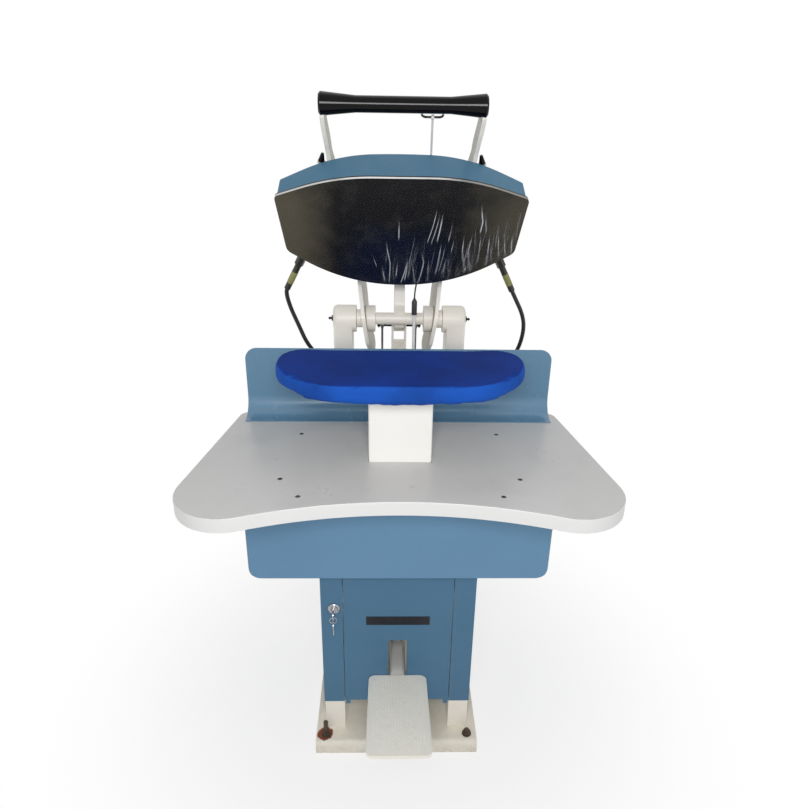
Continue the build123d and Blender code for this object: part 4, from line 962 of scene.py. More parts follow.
@dataclass
class Workshop:
    """Holds the finishes and the pieces made so far, and puts each piece on its body."""

    finishes: dict[Slot, Material]
    made: list[str] = field(default_factory=list)

    def mount(self, piece: Piece, body: str, slot: Slot, replaced: Sequence[str] = ()) -> Piece:
        """Fixes a finished piece to its body.

        Args:
            piece: The finished piece.
            body: The body that it rides on, or nothing for a cord that spans two.
            slot: The finish that it takes; not used.
            replaced: The CAD nodes that it stands for.

        Returns:
            The piece.
        """
        if body:
            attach(piece, body)
        if replaced:
            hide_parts(*replaced)
        self.made.append(piece.name)
        log.info("%s on %s, %d faces", piece.name, body or "two bodies", len(piece.data.polygons))
        return piece

    def paint(self, node: str, slot: Slot) -> None:
        """Gives a CAD node that stays its finish.

        Args:
            node: The CAD node.
            slot: The finish.
        """
        item = frame["nodes"][node]
        if not item.material_slots:
            item.data.materials.append(self.finishes[slot])
        for place in item.material_slots:
            place.material = self.finishes[slot]
        log.info("%s painted with %s", node, slot.value)

    def dress(self, slot: Slot, edge: float, *nodes: str, material: Material | None = None) -> None:
        """Refines several CAD nodes in the same way."""
        for node in nodes:
            self.refine(node, slot, edge, material)

    def refine(self, node: str, slot: Slot, edge: float = 0.0, material: Material | None = None) -> Piece:
        """A smooth copy of a CAD node with small rounded edges, in its place.

        Args:
            node: The CAD node.
            slot: The finish.
            edge: Width of the edge rounding in metres, or 0 for none.
            material: A material in place of the slot's own.

        Returns:
            The new piece.
        """
        source = frame["nodes"][node]
        mesh = source.data.copy()
        for name in ("custom_normal", "sharp_edge", "sharp_face"):
            if name in mesh.attributes:
                mesh.attributes.remove(mesh.attributes[name])
        work = bmesh.new()
        work.from_mesh(mesh)
        bmesh.ops.remove_doubles(work, verts=work.verts, dist=2e-6)
        bmesh.ops.dissolve_degenerate(work, edges=work.edges, dist=1e-6)
        if edge:
            bmesh.ops.dissolve_limit(work, angle_limit=math.radians(0.4), verts=work.verts, edges=work.edges)
        work.to_mesh(mesh)
        work.free()
        piece = link(bpy.data.objects.new(f"{node}_body", mesh))
        smooth(mesh)
        if edge:
            rounding = piece.modifiers.new("edges", "BEVEL")
            rounding.width = edge
            rounding.segments = 2
            rounding.limit_method = "ANGLE"
            rounding.angle_limit = math.radians(40.0)
            rounding.harden_normals = True
            settled(piece)
        piece.data.materials.clear()
        piece.data.materials.append(material or self.finishes[slot])
        return self.mount(piece, source["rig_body"], slot, [node])


def mesh_piece(
    name: str, points: Iterable[Vector | Point], faces: Iterable[Sequence[int]],
    material: Material | None = None,
) -> Piece:
    """A new object from points and faces.

    Args:
        name: The piece's name.
        points: Its points in metres.
        faces: Point numbers of each face.
        material: Its material.

    Returns:
        The object, in the scene.
    """
    mesh = bpy.data.meshes.new(name)
    mesh.from_pydata([tuple(point) for point in points], [], [tuple(face) for face in faces])
    if material:
        mesh.materials.append(material)
    mesh.update()
    return link(bpy.data.objects.new(name, mesh))


def point_cloud(
    name: str, points: Sequence[Vector], axis: Vector | None = None, turns: Sequence[float] = (),
) -> Piece:
    """Loose points that a tree puts shapes on.

    Args:
        name: The name of the piece that they become.
        points: The places in metres.
        axis: The direction that each shape stands in.
        turns: The turn of each shape about its axis, in radians.

    Returns:
        The object with the points.
    """
    piece = mesh_piece(name, points, [])
    if axis is not None:
        for item in piece.data.attributes.new("axis", "FLOAT_VECTOR", "POINT").data:
            item.vector = axis
    if turns:
        piece.data.attributes.new("turn", "FLOAT", "POINT").data.foreach_set("value", turns)
    return piece


class GeometryTree:
    """A Geometry Nodes tree that ends in Realize Instances and Set Material."""

    def __init__(self, name: str, inputs: dict[str, Any]) -> None:
        """Makes the tree with its geometry sockets and its named inputs.

        Args:
            name: The tree's name.
            inputs: The starting value of each input, None for a material.
        """
        self.tree = bpy.data.node_groups.new(name, "GeometryNodeTree")
        self.tree.interface.new_socket("Geometry", in_out="INPUT", socket_type="NodeSocketGeometry")
        name_sockets(self.tree, "INPUT", inputs)
        self.tree.interface.new_socket("Geometry", in_out="OUTPUT", socket_type="NodeSocketGeometry")
        self.bench = Bench(self.tree)
        self.given = self.bench.add("NodeGroupInput").outputs

    def painted(self, geometry: Socket, material: Socket) -> Socket:
        """A shape with its material."""
        return self.bench.out("GeometryNodeSetMaterial", {"Geometry": geometry, "Material": material})

    def joined(self, *shapes: Socket) -> Socket:
        """Several shapes as one.

        Args:
            *shapes: The shapes.

        Returns:
            The joined shape.
        """
        node = self.bench.add("GeometryNodeJoinGeometry")
        for shape in shapes:
            self.bench.feed(node.inputs[0], shape)
        return node.outputs[0]

    def standing(self, twist: Any) -> Socket:
        """The rotation that stands a shape on its point's axis and twists it about that axis.

        Args:
            twist: The angle about the axis, in radians.

        Returns:
            The rotation.
        """
        axis = self.bench.add("GeometryNodeInputNamedAttribute", {"Name": "axis"}, data_type="FLOAT_VECTOR")
        direction = axis.outputs["Attribute"]
        turned = self.bench.out("FunctionNodeAlignRotationToVector", {"Vector": direction}, axis="Z")
        inputs = {"Rotation": turned, "Rotate By": self.bench.vector(z=twist)}
        return self.bench.out("FunctionNodeRotateRotation", inputs, rotation_space="LOCAL")

    def spread(self, shape: Socket, rotation: Socket | None = None) -> Socket:
        """Puts a shape on each of the given points.

        Args:
            shape: The shape.
            rotation: The rotation at each point, or none.

        Returns:
            The instances.
        """
        inputs = {"Points": self.given["Geometry"], "Instance": shape}
        if rotation is not None:
            inputs["Rotation"] = rotation
        return self.bench.out("GeometryNodeInstanceOnPoints", inputs)

    def end(self, instances: Socket, material: Socket | None = None) -> "GeometryTree":
        """Closes the tree with its realised result and its material.

        Args:
            instances: The placed shapes.
            material: Their material, or none where the shapes carry their own.

        Returns:
            The finished tree.
        """
        real = self.bench.out("GeometryNodeRealizeInstances", {"Geometry": instances})
        if material is not None:
            real = self.painted(real, material)
        self.bench.add("NodeGroupOutput", {"Geometry": real})
        return self

    def run(self, piece: Piece, values: dict[str, Any]) -> Piece:
        """Runs the tree on a piece and keeps the result as its mesh.

        Args:
            piece: The object that holds the starting points.
            values: The tree's inputs by name.

        Returns:
            The piece with its plain mesh.
        """
        modifier = piece.modifiers.new(self.tree.name, "NODES")
        modifier.node_group = self.tree
        for item in self.tree.interface.items_tree:
            if item.item_type == "SOCKET" and item.in_out == "INPUT" and item.name in values:
                modifier[item.identifier] = values[item.name]
        return settled(piece)


def fastener_tree() -> GeometryTree:
    """Screw heads with a crossed recess on points that carry an axis.

    Returns:
        The tree.
    """
    made = GeometryTree("fastener_heads", {
        "Head Radius": 0.005, "Head Height": 0.002, "Recess Length": 0.005, "Recess Width": 0.0011,
        "Head Material": None, "Recess Material": None,
    })
    bench, given = made.bench, made.given
    ball = {"Segments": 20, "Rings": 12, "Radius": given["Head Radius"]}
    dome = bench.out("GeometryNodeMeshUVSphere", ball)
    size = bench.vector(1.0, 1.0, bench.math("DIVIDE", given["Head Height"], given["Head Radius"]))
    cap = bench.out("GeometryNodeTransform", {"Geometry": dome, "Scale": size})
    head = made.painted(cap, given["Head Material"])
    top = bench.vector(z=bench.times(given["Head Height"], 0.86))
    bar = bench.vector(given["Recess Length"], given["Recess Width"], bench.times(given["Head Height"], 0.34))
    arms = []
    for turn in (0.0, math.pi / 2):
        cube = bench.out("GeometryNodeMeshCube", {"Size": bar})
        inputs = {"Geometry": cube, "Translation": top, "Rotation": (0.0, 0.0, turn)}
        arms.append(bench.out("GeometryNodeTransform", inputs))
    whole = made.joined(head, made.painted(made.joined(*arms), given["Recess Material"]))
    spin = bench.add("FunctionNodeRandomValue", {"Seed": 7, 2: 0.0, 3: 1.5}, data_type="FLOAT").outputs[1]
    return made.end(made.spread(whole, made.standing(spin)))


def coil_tree() -> GeometryTree:
    """A wound spring of round wire, hung from its top.

    Returns:
        The tree.
    """
    made = GeometryTree("coil_spring", {
        "Turns": 14.0, "Coil Radius": 0.0145, "Length": 0.16, "Wire Radius": 0.0025, "Material": None,
    })
    bench, given = made.bench, made.given
    line = bench.out("GeometryNodeCurveSpiral", {
        "Resolution": 20, "Rotations": given["Turns"], "Start Radius": given["Coil Radius"],
        "End Radius": given["Coil Radius"], "Height": given["Length"],
    })
    wire = bench.out("GeometryNodeCurvePrimitiveCircle", {"Resolution": 10, "Radius": given["Wire Radius"]})
    tube = bench.out("GeometryNodeCurveToMesh", {"Curve": line, "Profile Curve": wire, "Fill Caps": True})
    return made.end(made.spread(tube), given["Material"])


def tread_tree() -> GeometryTree:
    """Raised lozenges on the points of a plate, in two directions by turns.

    Returns:
        The tree.
    """
    made = GeometryTree("tread_lozenges", {
        "Lozenge Length": 0.0052, "Lozenge Width": 0.0024, "Lozenge Height": 0.0007, "Material": None,
    })
    bench, given = made.bench, made.given
    inputs = {"Vertices": 8, "Radius Top": 0.35, "Radius Bottom": 1.0, "Depth": 1.0}
    cone = bench.out("GeometryNodeMeshCone", inputs)
    half_length = bench.times(given["Lozenge Length"], 0.5)
    half_width = bench.times(given["Lozenge Width"], 0.5)
    size = bench.vector(half_length, half_width, given["Lozenge Height"])
    lozenge = bench.out("GeometryNodeTransform", {"Geometry": cone, "Scale": size})
    turn = bench.add("GeometryNodeInputNamedAttribute", {"Name": "turn"}, data_type="FLOAT")
    return made.end(made.spread(lozenge, made.standing(turn.outputs["Attribute"])), given["Material"])


def louvre_tree() -> GeometryTree:
    """Pressed hoods in a column, each a quarter round over its slot.

    Returns:
        The tree.
    """
    made = GeometryTree("louvre_hoods", {
        "Count": 8, "Pitch": 0.026, "Width": 0.2, "Depth": 0.008, "Material": None,
    })
    bench, given = made.bench, made.given
    half = bench.times(given["Width"], 0.5)
    ends = {"Start": bench.vector(bench.times(half, -1.0)), "End": bench.vector(half)}
    arc = bench.out("GeometryNodeCurveArc", {
        "Resolution": 10, "Radius": given["Depth"], "Sweep Angle": math.pi / 2, "Connect Center": True,
    })
    line = bench.out("GeometryNodeCurvePrimitiveLine", ends)
    hood = bench.out("GeometryNodeCurveToMesh", {"Curve": line, "Profile Curve": arc, "Fill Caps": True})
    step = bench.vector(z=bench.times(given["Pitch"], -1.0))
    column = bench.out("GeometryNodeMeshLine", {"Count": given["Count"], "Offset": step})
    rows = bench.out("GeometryNodeInstanceOnPoints", {"Points": column, "Instance": hood})
    return made.end(made.spread(rows), given["Material"])


@dataclass
class PhotoCamera:
    """The camera at the photograph's place and angle."""

    place: Point = (-0.03245, -1.64485, 1.68652)
    pitch_down: float = 24.188
    turn_right: float = 1.598
    roll: float = 0.975
    lens: float = 31.02

    def build(self) -> None:
        """Makes the camera and hands it to the scene."""
        data = bpy.data.cameras.new("photo_camera")
        data.lens = self.lens
        data.sensor_width = 36.0
        camera = link(bpy.data.objects.new("photo_camera", data))
        turned = Matrix.Rotation(-math.radians(self.turn_right), 4, "Z")
        tilted = Matrix.Rotation(math.radians(90.0 - self.pitch_down), 4, "X")
        rolled = Matrix.Rotation(math.radians(self.roll), 4, "Z")
        camera.matrix_world = Matrix.Translation(self.place) @ turned @ tilted @ rolled
        bpy.context.scene.camera = camera


@dataclass
class Studio:
    """A pale floor, a white surround and soft lamps."""

    ambient: float = 0.45
    key_power: float = 23.0
    fill_power: float = 4.0
    top_power: float = 6.0
    floor_size: float = 14.0
    aim: Point = (0.0, 0.0, 0.90)

    def build(self) -> None:
        """Makes the floor, the world and the lamps."""
        self.floor()
        self.surround()
        self.lamp("key_lamp", (-0.06, -1.95, 1.98), 0.6, self.key_power)
        self.lamp("fill_lamp", (2.3, -1.9, 1.7), 1.8, self.fill_power)
        self.lamp("top_lamp", (0.2, 0.9, 3.2), 1.8, self.top_power)
        bpy.context.scene.view_settings.view_transform = "Standard"

    def floor(self) -> None:
        """Makes the floor, pale near the press and white far away."""
        material = bpy.data.materials.new("pale_floor")
        bench = blank_tree(material)
        matt = bench.out("ShaderNodeBsdfDiffuse", {"Color": (0.86, 0.86, 0.86, 1.0)})
        glow = bench.out("ShaderNodeEmission", {"Color": (1.0, 1.0, 1.0, 1.0), "Strength": 1.0})
        away = bench.ramp(bench.vectors("LENGTH", {0: bench.place()}), 0.30, 1.1, 0.70, 1.0)
        rays = bench.add("ShaderNodeLightPath").outputs
        amount = bench.times(away, bench.math("MAXIMUM", rays["Is Camera Ray"], rays["Is Glossy Ray"]))
        mixed = bench.out("ShaderNodeMixShader", {0: amount, 1: matt, 2: glow})
        bench.add("ShaderNodeOutputMaterial", {"Surface": mixed})
        size = self.floor_size
        corners = [(-size, -size, 0.0), (size, -size, 0.0), (size, size, 0.0), (-size, size, 0.0)]
        mesh_piece("floor", corners, [(0, 1, 2, 3)], material)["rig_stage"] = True

    def surround(self) -> None:
        """Makes the world: white to look at and plainer as a light."""
        world = bpy.data.worlds.new("studio")
        bench = blank_tree(world)
        rays = bench.add("ShaderNodeLightPath").outputs
        mirrored = bench.math("MAXIMUM", rays["Is Glossy Ray"], rays["Is Transmission Ray"])
        seen = bench.math("MAXIMUM", rays["Is Camera Ray"], mirrored)
        strength = bench.ramp(seen, 0.0, 1.0, self.ambient, 1.0)
        sky = bench.out("ShaderNodeBackground", {"Color": (1.0, 1.0, 1.0, 1.0), "Strength": strength})
        bench.add("ShaderNodeOutputWorld", {"Surface": sky})
        bpy.context.scene.world = world

    def lamp(self, name: str, place: Point, size: float, power: float) -> None:
        """Makes one square lamp that faces the buck.

        Args:
            name: The lamp's name.
            place: Where it hangs.
            size: Its width in metres.
            power: Its power in watts.
        """
        data = bpy.data.lights.new(name, "AREA")
        data.shape = "SQUARE"
        data.size = size
        data.energy = power
        lamp = link(bpy.data.objects.new(name, data))
        lamp.location = place
        lamp.rotation_euler = (Vector(self.aim) - Vector(place)).to_track_quat("-Z", "Y").to_euler()


@dataclass
class SteamHoses:
    """The two steam hoses and the trigger's cable, which bend between the frame and the head."""

    shop: Workshop
    hose_radius: float = 0.0055
    cable_radius: float = 0.002
    left_length: float = 0.2922
    right_length: float = 0.3426
    cable_length: float = 0.1593

    def build(self) -> None:
        """Makes the three cords from their routes."""
        self.cord("left_hose", LEFT_ROUTE, self.hose_radius, Slot.HOSE)
        self.cord("right_hose", RIGHT_ROUTE, self.hose_radius, Slot.HOSE)
        self.cord("trigger_cable", CABLE_ROUTE, self.cable_radius, Slot.RUBBER)

    def cord(self, node: str, route: Sequence[Point], radius: float, slot: Slot) -> None:
        """Makes one cord on a smooth curve between head and frame.

        Args:
            node: The CAD node that it stands for.
            route: Its route in metres, from the head to the frame.
            radius: Its radius.
            slot: Its finish.
        """
        curve = bpy.data.curves.new(f"{node}_line", "CURVE")
        curve.dimensions = "3D"
        spline = curve.splines.new("NURBS")
        spline.points.add(len(route) - 1)
        for place, point in zip(spline.points, route):
            place.co = (*point, 1.0)
        spline.order_u = 3
        spline.use_endpoint_u = True
        spline.resolution_u = 16
        holder = link(bpy.data.objects.new(f"{node}_line", curve))
        path = [tuple(vertex.co) for vertex in live_mesh(holder).vertices]
        curve.bevel_depth = radius
        curve.bevel_resolution = 4
        curve.use_fill_caps = True
        mesh = live_mesh(holder)
        bpy.data.objects.remove(holder)
        mesh.materials.clear()
        mesh.materials.append(self.shop.finishes[slot])
        smooth(mesh, 50.0)
        piece = link(bpy.data.objects.new(f"{node}_line", mesh))
        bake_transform(piece)
        self.shop.mount(piece, "", slot, [node])


@dataclass
class Fasteners:
    """Puts detailed screw heads over a node's plain ones."""

    shop: Workshop
    tree: GeometryTree
    height: float = 0.0022
    sink: float = 0.0012

    def tops(self, node: str, axis: Vector) -> list[Vector]:
        """Where the plain screws of a node end.

        Args:
            node: The CAD node with the plain screws.
            axis: The direction that they face.

        Returns:
            The middle of each screw's outer end, a little below its face.
        """
        work = bmesh.new()
        work.from_mesh(frame["nodes"][node].data)
        bmesh.ops.remove_doubles(work, verts=work.verts, dist=1e-5)
        left = set(work.verts)
        found = []
        for start in work.verts:
            if start not in left:
                continue
            left.remove(start)
            stack = [start]
            island = []
            while stack:
                vertex = stack.pop()
                island.append(vertex.co.copy())
                others = [edge.other_vert(vertex) for edge in vertex.link_edges]
                stack.extend(other for other in others if other in left)
                left.difference_update(others)
            low = [min(point[i] for point in island) for i in range(3)]
            high = [max(point[i] for point in island) for i in range(3)]
            middle = Vector([(a + b) / 2 for a, b in zip(low, high)])
            top = max(point.dot(axis) for point in island)
            found.append(middle + axis * (top - middle.dot(axis) - self.sink))
        work.free()
        return found

    def cover(self, node: str, radius: float, axis: Vector, material: Material | None = None) -> None:
        """Makes the heads of one node and puts them on the frame.

        Args:
            node: The CAD node with the plain screws.
            radius: Radius of the new heads in metres.
            axis: The direction that the heads face.
            material: A material in place of plain zinc.
        """
        places = self.tops(node, axis)
        piece = self.tree.run(point_cloud(f"{node}_heads", places, axis), {
            "Head Radius": radius, "Head Height": self.height, "Recess Length": radius * 1.1,
            "Recess Width": radius * 0.26, "Head Material": material or self.shop.finishes[Slot.ZINC],
            "Recess Material": self.shop.finishes[Slot.RUBBER],
        })
        smooth(piece.data, 40.0)
        self.shop.mount(piece, "frame", Slot.ZINC, [node])
        log.info("%d screws in %s", len(places), node)


@dataclass
class FrameWork:
    """Base plate, posts, uprights and what stands on them."""

    shop: Workshop
    edge: float = 0.0012

    def build(self) -> None:
        """Dresses the frame's nodes."""
        dusty = BaseEnamel(
            "base_enamel", srgb(240, 235, 222), srgb(224, 218, 202), (0.42, 0.6), 0.03,
            wear=0.5, wear_colour=srgb(150, 140, 120),
        )
        white = Enamel("neck_enamel", srgb(253, 252, 248), srgb(246, 244, 238), wear=0.2)
        rusty = Metal("weathered_bolts", srgb(88, 76, 64), srgb(52, 40, 32), (0.5, 0.7), metallic=0.5)
        self.shop.refine("base_plate", Slot.CREAM, self.edge, dusty.make())
        uprights = ("left_post", "right_post", "left_upright", "right_upright")
        self.shop.dress(Slot.CREAM, self.edge, *uprights, "support_frame", "pedal_stands")
        self.shop.refine("neck", Slot.CREAM, self.edge, white.make())
        self.shop.refine("levelling_bolts", Slot.ZINC, 0.0003, rusty.make())
        self.shop.refine("grease_nipples", Slot.BLACK_STEEL, 0.0003)
        self.shop.paint("bearing_bushes", Slot.BRONZE)
        self.shop.refine("stop_rubbers", Slot.RUBBER, 0.001)


@dataclass
class BalanceSprings:
    """The two coil springs under the spring plate."""

    shop: Workshop
    across: float = 0.046
    coil_radius: float = 0.0145
    wire_radius: float = 0.0025
    turns: float = 15.0
    keep: float = 0.628

    def build(self) -> None:
        """Winds the springs where the plain tubes stand."""
        low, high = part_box("balance_springs")
        middle = (low.y + high.y) / 2
        length = high.z - low.z - 2 * self.wire_radius
        points = [Vector((side * self.across, middle, low.z + self.wire_radius)) for side in (-1, 1)]
        piece = coil_tree().run(point_cloud("balance_spring_coils", points), {
            "Turns": self.turns, "Coil Radius": self.coil_radius, "Length": length,
            "Wire Radius": self.wire_radius, "Material": self.shop.finishes[Slot.STEEL],
        })
        smooth(piece.data, 60.0)
        self.shop.mount(piece, "frame", Slot.STEEL, ["balance_springs"])
        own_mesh(piece)


@dataclass
class Casing:
    """The blue casing with its front panel, plate, lock and rear louvres."""

    shop: Workshop
    fasteners: Fasteners
    edge: float = 0.0007
    screw_radius: float = 0.0045
    louvre_top: float = 0.643
    louvre_pitch: float = 0.026
    louvre_count: int = 8
    louvre_width: float = 0.2
    louvre_depth: float = 0.007

    def build(self) -> None:
        """Dresses the casing's nodes and adds hoods and screws."""
        panels = ("left_side_panel", "right_side_panel", "front_panel", "rear_panel")
        self.shop.dress(Slot.CASING, self.edge, *panels)
        self.shop.refine("nameplate", Slot.DARK_PLATE, 0.0004)
        self.shop.refine("key_switch", Slot.BRIGHT, 0.0004)
        self.shop.refine("switch_key", Slot.BRIGHT, 0.0002)
        self.shop.refine("key_ring", Slot.BRIGHT)
        _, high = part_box("rear_panel")
        start = Vector((0.0, high.y - 0.0005, self.louvre_top))
        piece = louvre_tree().run(point_cloud("louvre_hoods", [start]), {
            "Count": self.louvre_count, "Pitch": self.louvre_pitch, "Width": self.louvre_width,
            "Depth": self.louvre_depth, "Material": self.shop.finishes[Slot.CASING],
        })
        smooth(piece.data, 40.0)
        self.shop.mount(piece, "frame", Slot.CASING)
        self.fasteners.cover("panel_screws", self.screw_radius, Vector((0.0, 1.0, 0.0)))


@dataclass
class WorkTable:
    """Table top, apron and coved back panel."""

    shop: Workshop
    fasteners: Fasteners
    screw_radius: float = 0.006

    def build(self) -> None:
        """Dresses the table's nodes and adds its screws."""
        # painted light: the back panel takes a lighter copy of the casing blue
        glossy = Enamel(
            "back_panel_enamel_painted_light", srgb(98, 139, 168), srgb(90, 129, 158), (0.2, 0.3), 0.3,
            wear=0.2, specular=0.5,
        )
        dulled = Metal("dulled_screws", srgb(92, 90, 88), srgb(50, 48, 46), (0.4, 0.6), metallic=0.6)
        self.shop.refine("table_top", Slot.LAMINATE, 0.0008)
        self.shop.refine("apron", Slot.APRON, 0.0006)
        self.shop.refine("back_panel", Slot.CASING, 0.0006, glossy.make())
        self.fasteners.cover("table_screws", self.screw_radius, Vector((0.0, 0.0, 1.0)), dulled.make())


@dataclass
class Buck:
    """The padded pressing buck on its neck."""

    shop: Workshop
    voxel: float = 0.005
    pressure: float = 4.0
    stiffness: float = 40.0
    cap: float = 0.005
    frames: int = 20
    hem_height: float = 0.016
    hem_depth: float = 0.0035
    film_room: float = 0.0022

    def build(self) -> None:
        """Dresses the casting and makes the pad."""
        self.shop.refine("buck_casting", Slot.CASTING, 0.0008)
        self.shop.refine("buck_pipes", Slot.PIPE)
        self.pad()

    def pad(self) -> None:
        """Swells the pad's solid into stretched cloth over felt."""
        mesh = frame["nodes"]["buck_pad"].data.copy()
        work = bmesh.new()
        work.from_mesh(mesh)
        bmesh.ops.remove_doubles(work, verts=work.verts, dist=1e-5)
        work.to_mesh(mesh)
        work.free()
        piece = link(bpy.data.objects.new("buck_pad_cover", mesh))
        remesh = piece.modifiers.new("skin", "REMESH")
        remesh.mode = "VOXEL"
        remesh.voxel_size = self.voxel
        settled(piece)
        self.swell(piece)
        low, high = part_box("buck_pad")
        for vertex in piece.data.vertices:
            near_hem = max(0.0, 1.0 - (vertex.co.z - low.z) / self.hem_height)
            ripple = math.sin(vertex.co.x * 95.0) * 0.6 + math.sin(vertex.co.x * 231.0 + 1.3) * 0.4
            vertex.co.z += near_hem * self.hem_depth * (0.30 * ripple - 0.8)
            vertex.co.z = min(vertex.co.z, high.z - self.film_room)
        finer = piece.modifiers.new("finer", "SUBSURF")
        finer.levels = finer.render_levels = 1
        settled(piece)
        piece.data.materials.clear()
        piece.data.materials.append(self.shop.finishes[Slot.PAD])
        smooth(piece.data, 80.0)
        self.shop.mount(piece, "frame", Slot.PAD, ["buck_pad"])

    def swell(self, piece: Piece) -> None:
        """Runs the cloth under pressure and keeps each point near its start.

        Args:
            piece: The remeshed pad.
        """
        rest = [vertex.co.copy() for vertex in piece.data.vertices]
        settings = piece.modifiers.new("cloth", "CLOTH").settings
        settings.use_pressure = True
        settings.uniform_pressure_force = self.pressure
        settings.effector_weights.gravity = 0.0
        settings.tension_stiffness = self.stiffness
        settings.compression_stiffness = self.stiffness
        settings.bending_stiffness = 2.0
        scene = bpy.context.scene
        for number in range(1, self.frames + 1):
            scene.frame_set(number)
        settled(piece)
        scene.frame_set(1)
        for vertex, start in zip(piece.data.vertices, rest):
            move = vertex.co - start
            if move.length > self.cap:
                vertex.co = start + move.normalized() * self.cap


def line_place(line: Line, u: float) -> float:
    """Where a crease lies across the platen.

    Args:
        line: The crease's pairs of distance along the head and place across it.
        u: The distance along the head.

    Returns:
        The place across.
    """
    if u <= line[0][0]:
        return line[0][1]
    for (u_low, x_low), (u_high, x_high) in zip(line, line[1:]):
        if u <= u_high:
            part = (u - u_low) / (u_high - u_low)
            return x_low + (x_high - x_low) * part * (1.5 - 0.5 * part)
    return line[-1][1]


def line_fade(line: Line, u: float) -> float:
    """How strong a crease is at a distance along it: it fades at both ends."""
    start, end = line[0][0], line[-1][0]
    return max(0.0, min(1.0, (u - start + 0.012) / 0.015, (end + 0.005 - u) / 0.035))


def hull_width(points: Line, u: float) -> float:
    """The half width of a convex outline at a distance along it.

    Args:
        points: Pairs of distance and half width, sorted by distance.
        u: The distance.

    Returns:
        The greatest half width that straight lines between the points give there.
    """
    best = 0.0
    before = [point for point in points if point[0] <= u]
    after = [point for point in points if point[0] >= u]
    for u_low, x_low in before[-60:]:
        for u_high, x_high in after[:60]:
            if u_high - u_low > 1e-9:
                best = max(best, x_low + (x_high - x_low) * (u - u_low) / (u_high - u_low))
    return best


@dataclass
class PlatenFilm:
    """The clear film that is stretched over the platen's face."""

    shop: Workshop
    face_w: float = -0.020
    gap: float = 0.0007
    step: float = 0.004
    columns: int = 600
    margin: float = 0.002
    crease_height: float = 0.0011
    faint_creases: int = 80
    lead: float = 0.012
    tail: float = 0.006
    sag: float = 0.0003
    seed: int = 11

    def outline(self) -> list[tuple[float, float]]:
        """Half width of the platen's flat face at steps along the head.

        Returns:
            Pairs of distance along the head and half width, in metres.
        """
        points = []
        for vertex in frame["nodes"]["head_shoe"].data.vertices:
            offset = vertex.co - PIVOT
            if abs(offset.dot(HEAD_UP) - self.face_w) < 0.0004:
                points.append((offset.dot(HEAD_FORWARD), abs(vertex.co.x)))
        points.sort()
        first, last = points[0][0] + self.margin, points[-1][0] - self.margin
        count = int((last - first) / self.step)
        places = [first + (last - first) * number / count for number in range(count + 1)]
        return [(u, hull_width(points, u) - self.margin) for u in places]

    def creases(self) -> list[tuple[Line, float, float]]:
        """Creases pulled along the head, most of them right of the middle and near the hinge.

        Returns:
            For each crease its line of (distance along, place across), its width and its strength.
        """
        draw = random.Random(self.seed)
        found = []
        for fold in FOLDS:
            line = sorted((u / 1000.0, x / 1000.0) for x, u in fold)
            found.append((line, draw.uniform(0.0011, 0.0016), draw.uniform(0.75, 1.0)))
        for _ in range(self.faint_creases):
            x = draw.uniform(-0.05, 0.275)
            start = 0.132 + max(0.0, x - 0.10) * 0.55 + draw.uniform(0.0, 0.075)
            reach = draw.uniform(0.025, 0.085)
            lean = draw.uniform(-0.05, 0.16)
            line = [(start, x), (start + reach, x + lean * reach)]
            found.append((line, draw.uniform(0.0008, 0.0014), draw.uniform(0.2, 0.6)))
        return found

    def build(self) -> None:
        """Lays the creased film over the platen's face."""
        rows = self.outline()
        lines = self.creases()
        points = []
        values = []
        for u, half in rows:
            near = [item for item in lines if item[0][0][0] - self.lead < u < item[0][-1][0] + self.tail]
            places = [
                (line_place(line, u), width, strength * line_fade(line, u)) for line, width, strength in near
            ]
            for number in range(self.columns + 1):
                x = -half + 2 * half * number / self.columns
                value = 0.0
                for place, width, strength in places:
                    off = abs(x - place)
                    if off < 3 * width:
                        value = max(value, strength * math.exp(-((off / width) ** 2)))
                sag = abs(self.sag * math.sin(x * 61.0) * math.sin(u * 47.0))
                points.append(head_point(x, u, self.face_w - self.gap - self.crease_height * value - sag))
                values.append(value)
        width = self.columns + 1
        starts = [row * width + number for row in range(len(rows) - 1) for number in range(self.columns)]
        faces = [(start, start + width, start + width + 1, start + 1) for start in starts]
        piece = mesh_piece("platen_film", points, faces, ClearFilm("clear_film_painted_highlights").make())
        piece.data.attributes.new("crease", "FLOAT", "POINT").data.foreach_set("value", values)
        smooth(piece.data, 80.0)
        self.shop.mount(piece, "head", Slot.PLATEN)


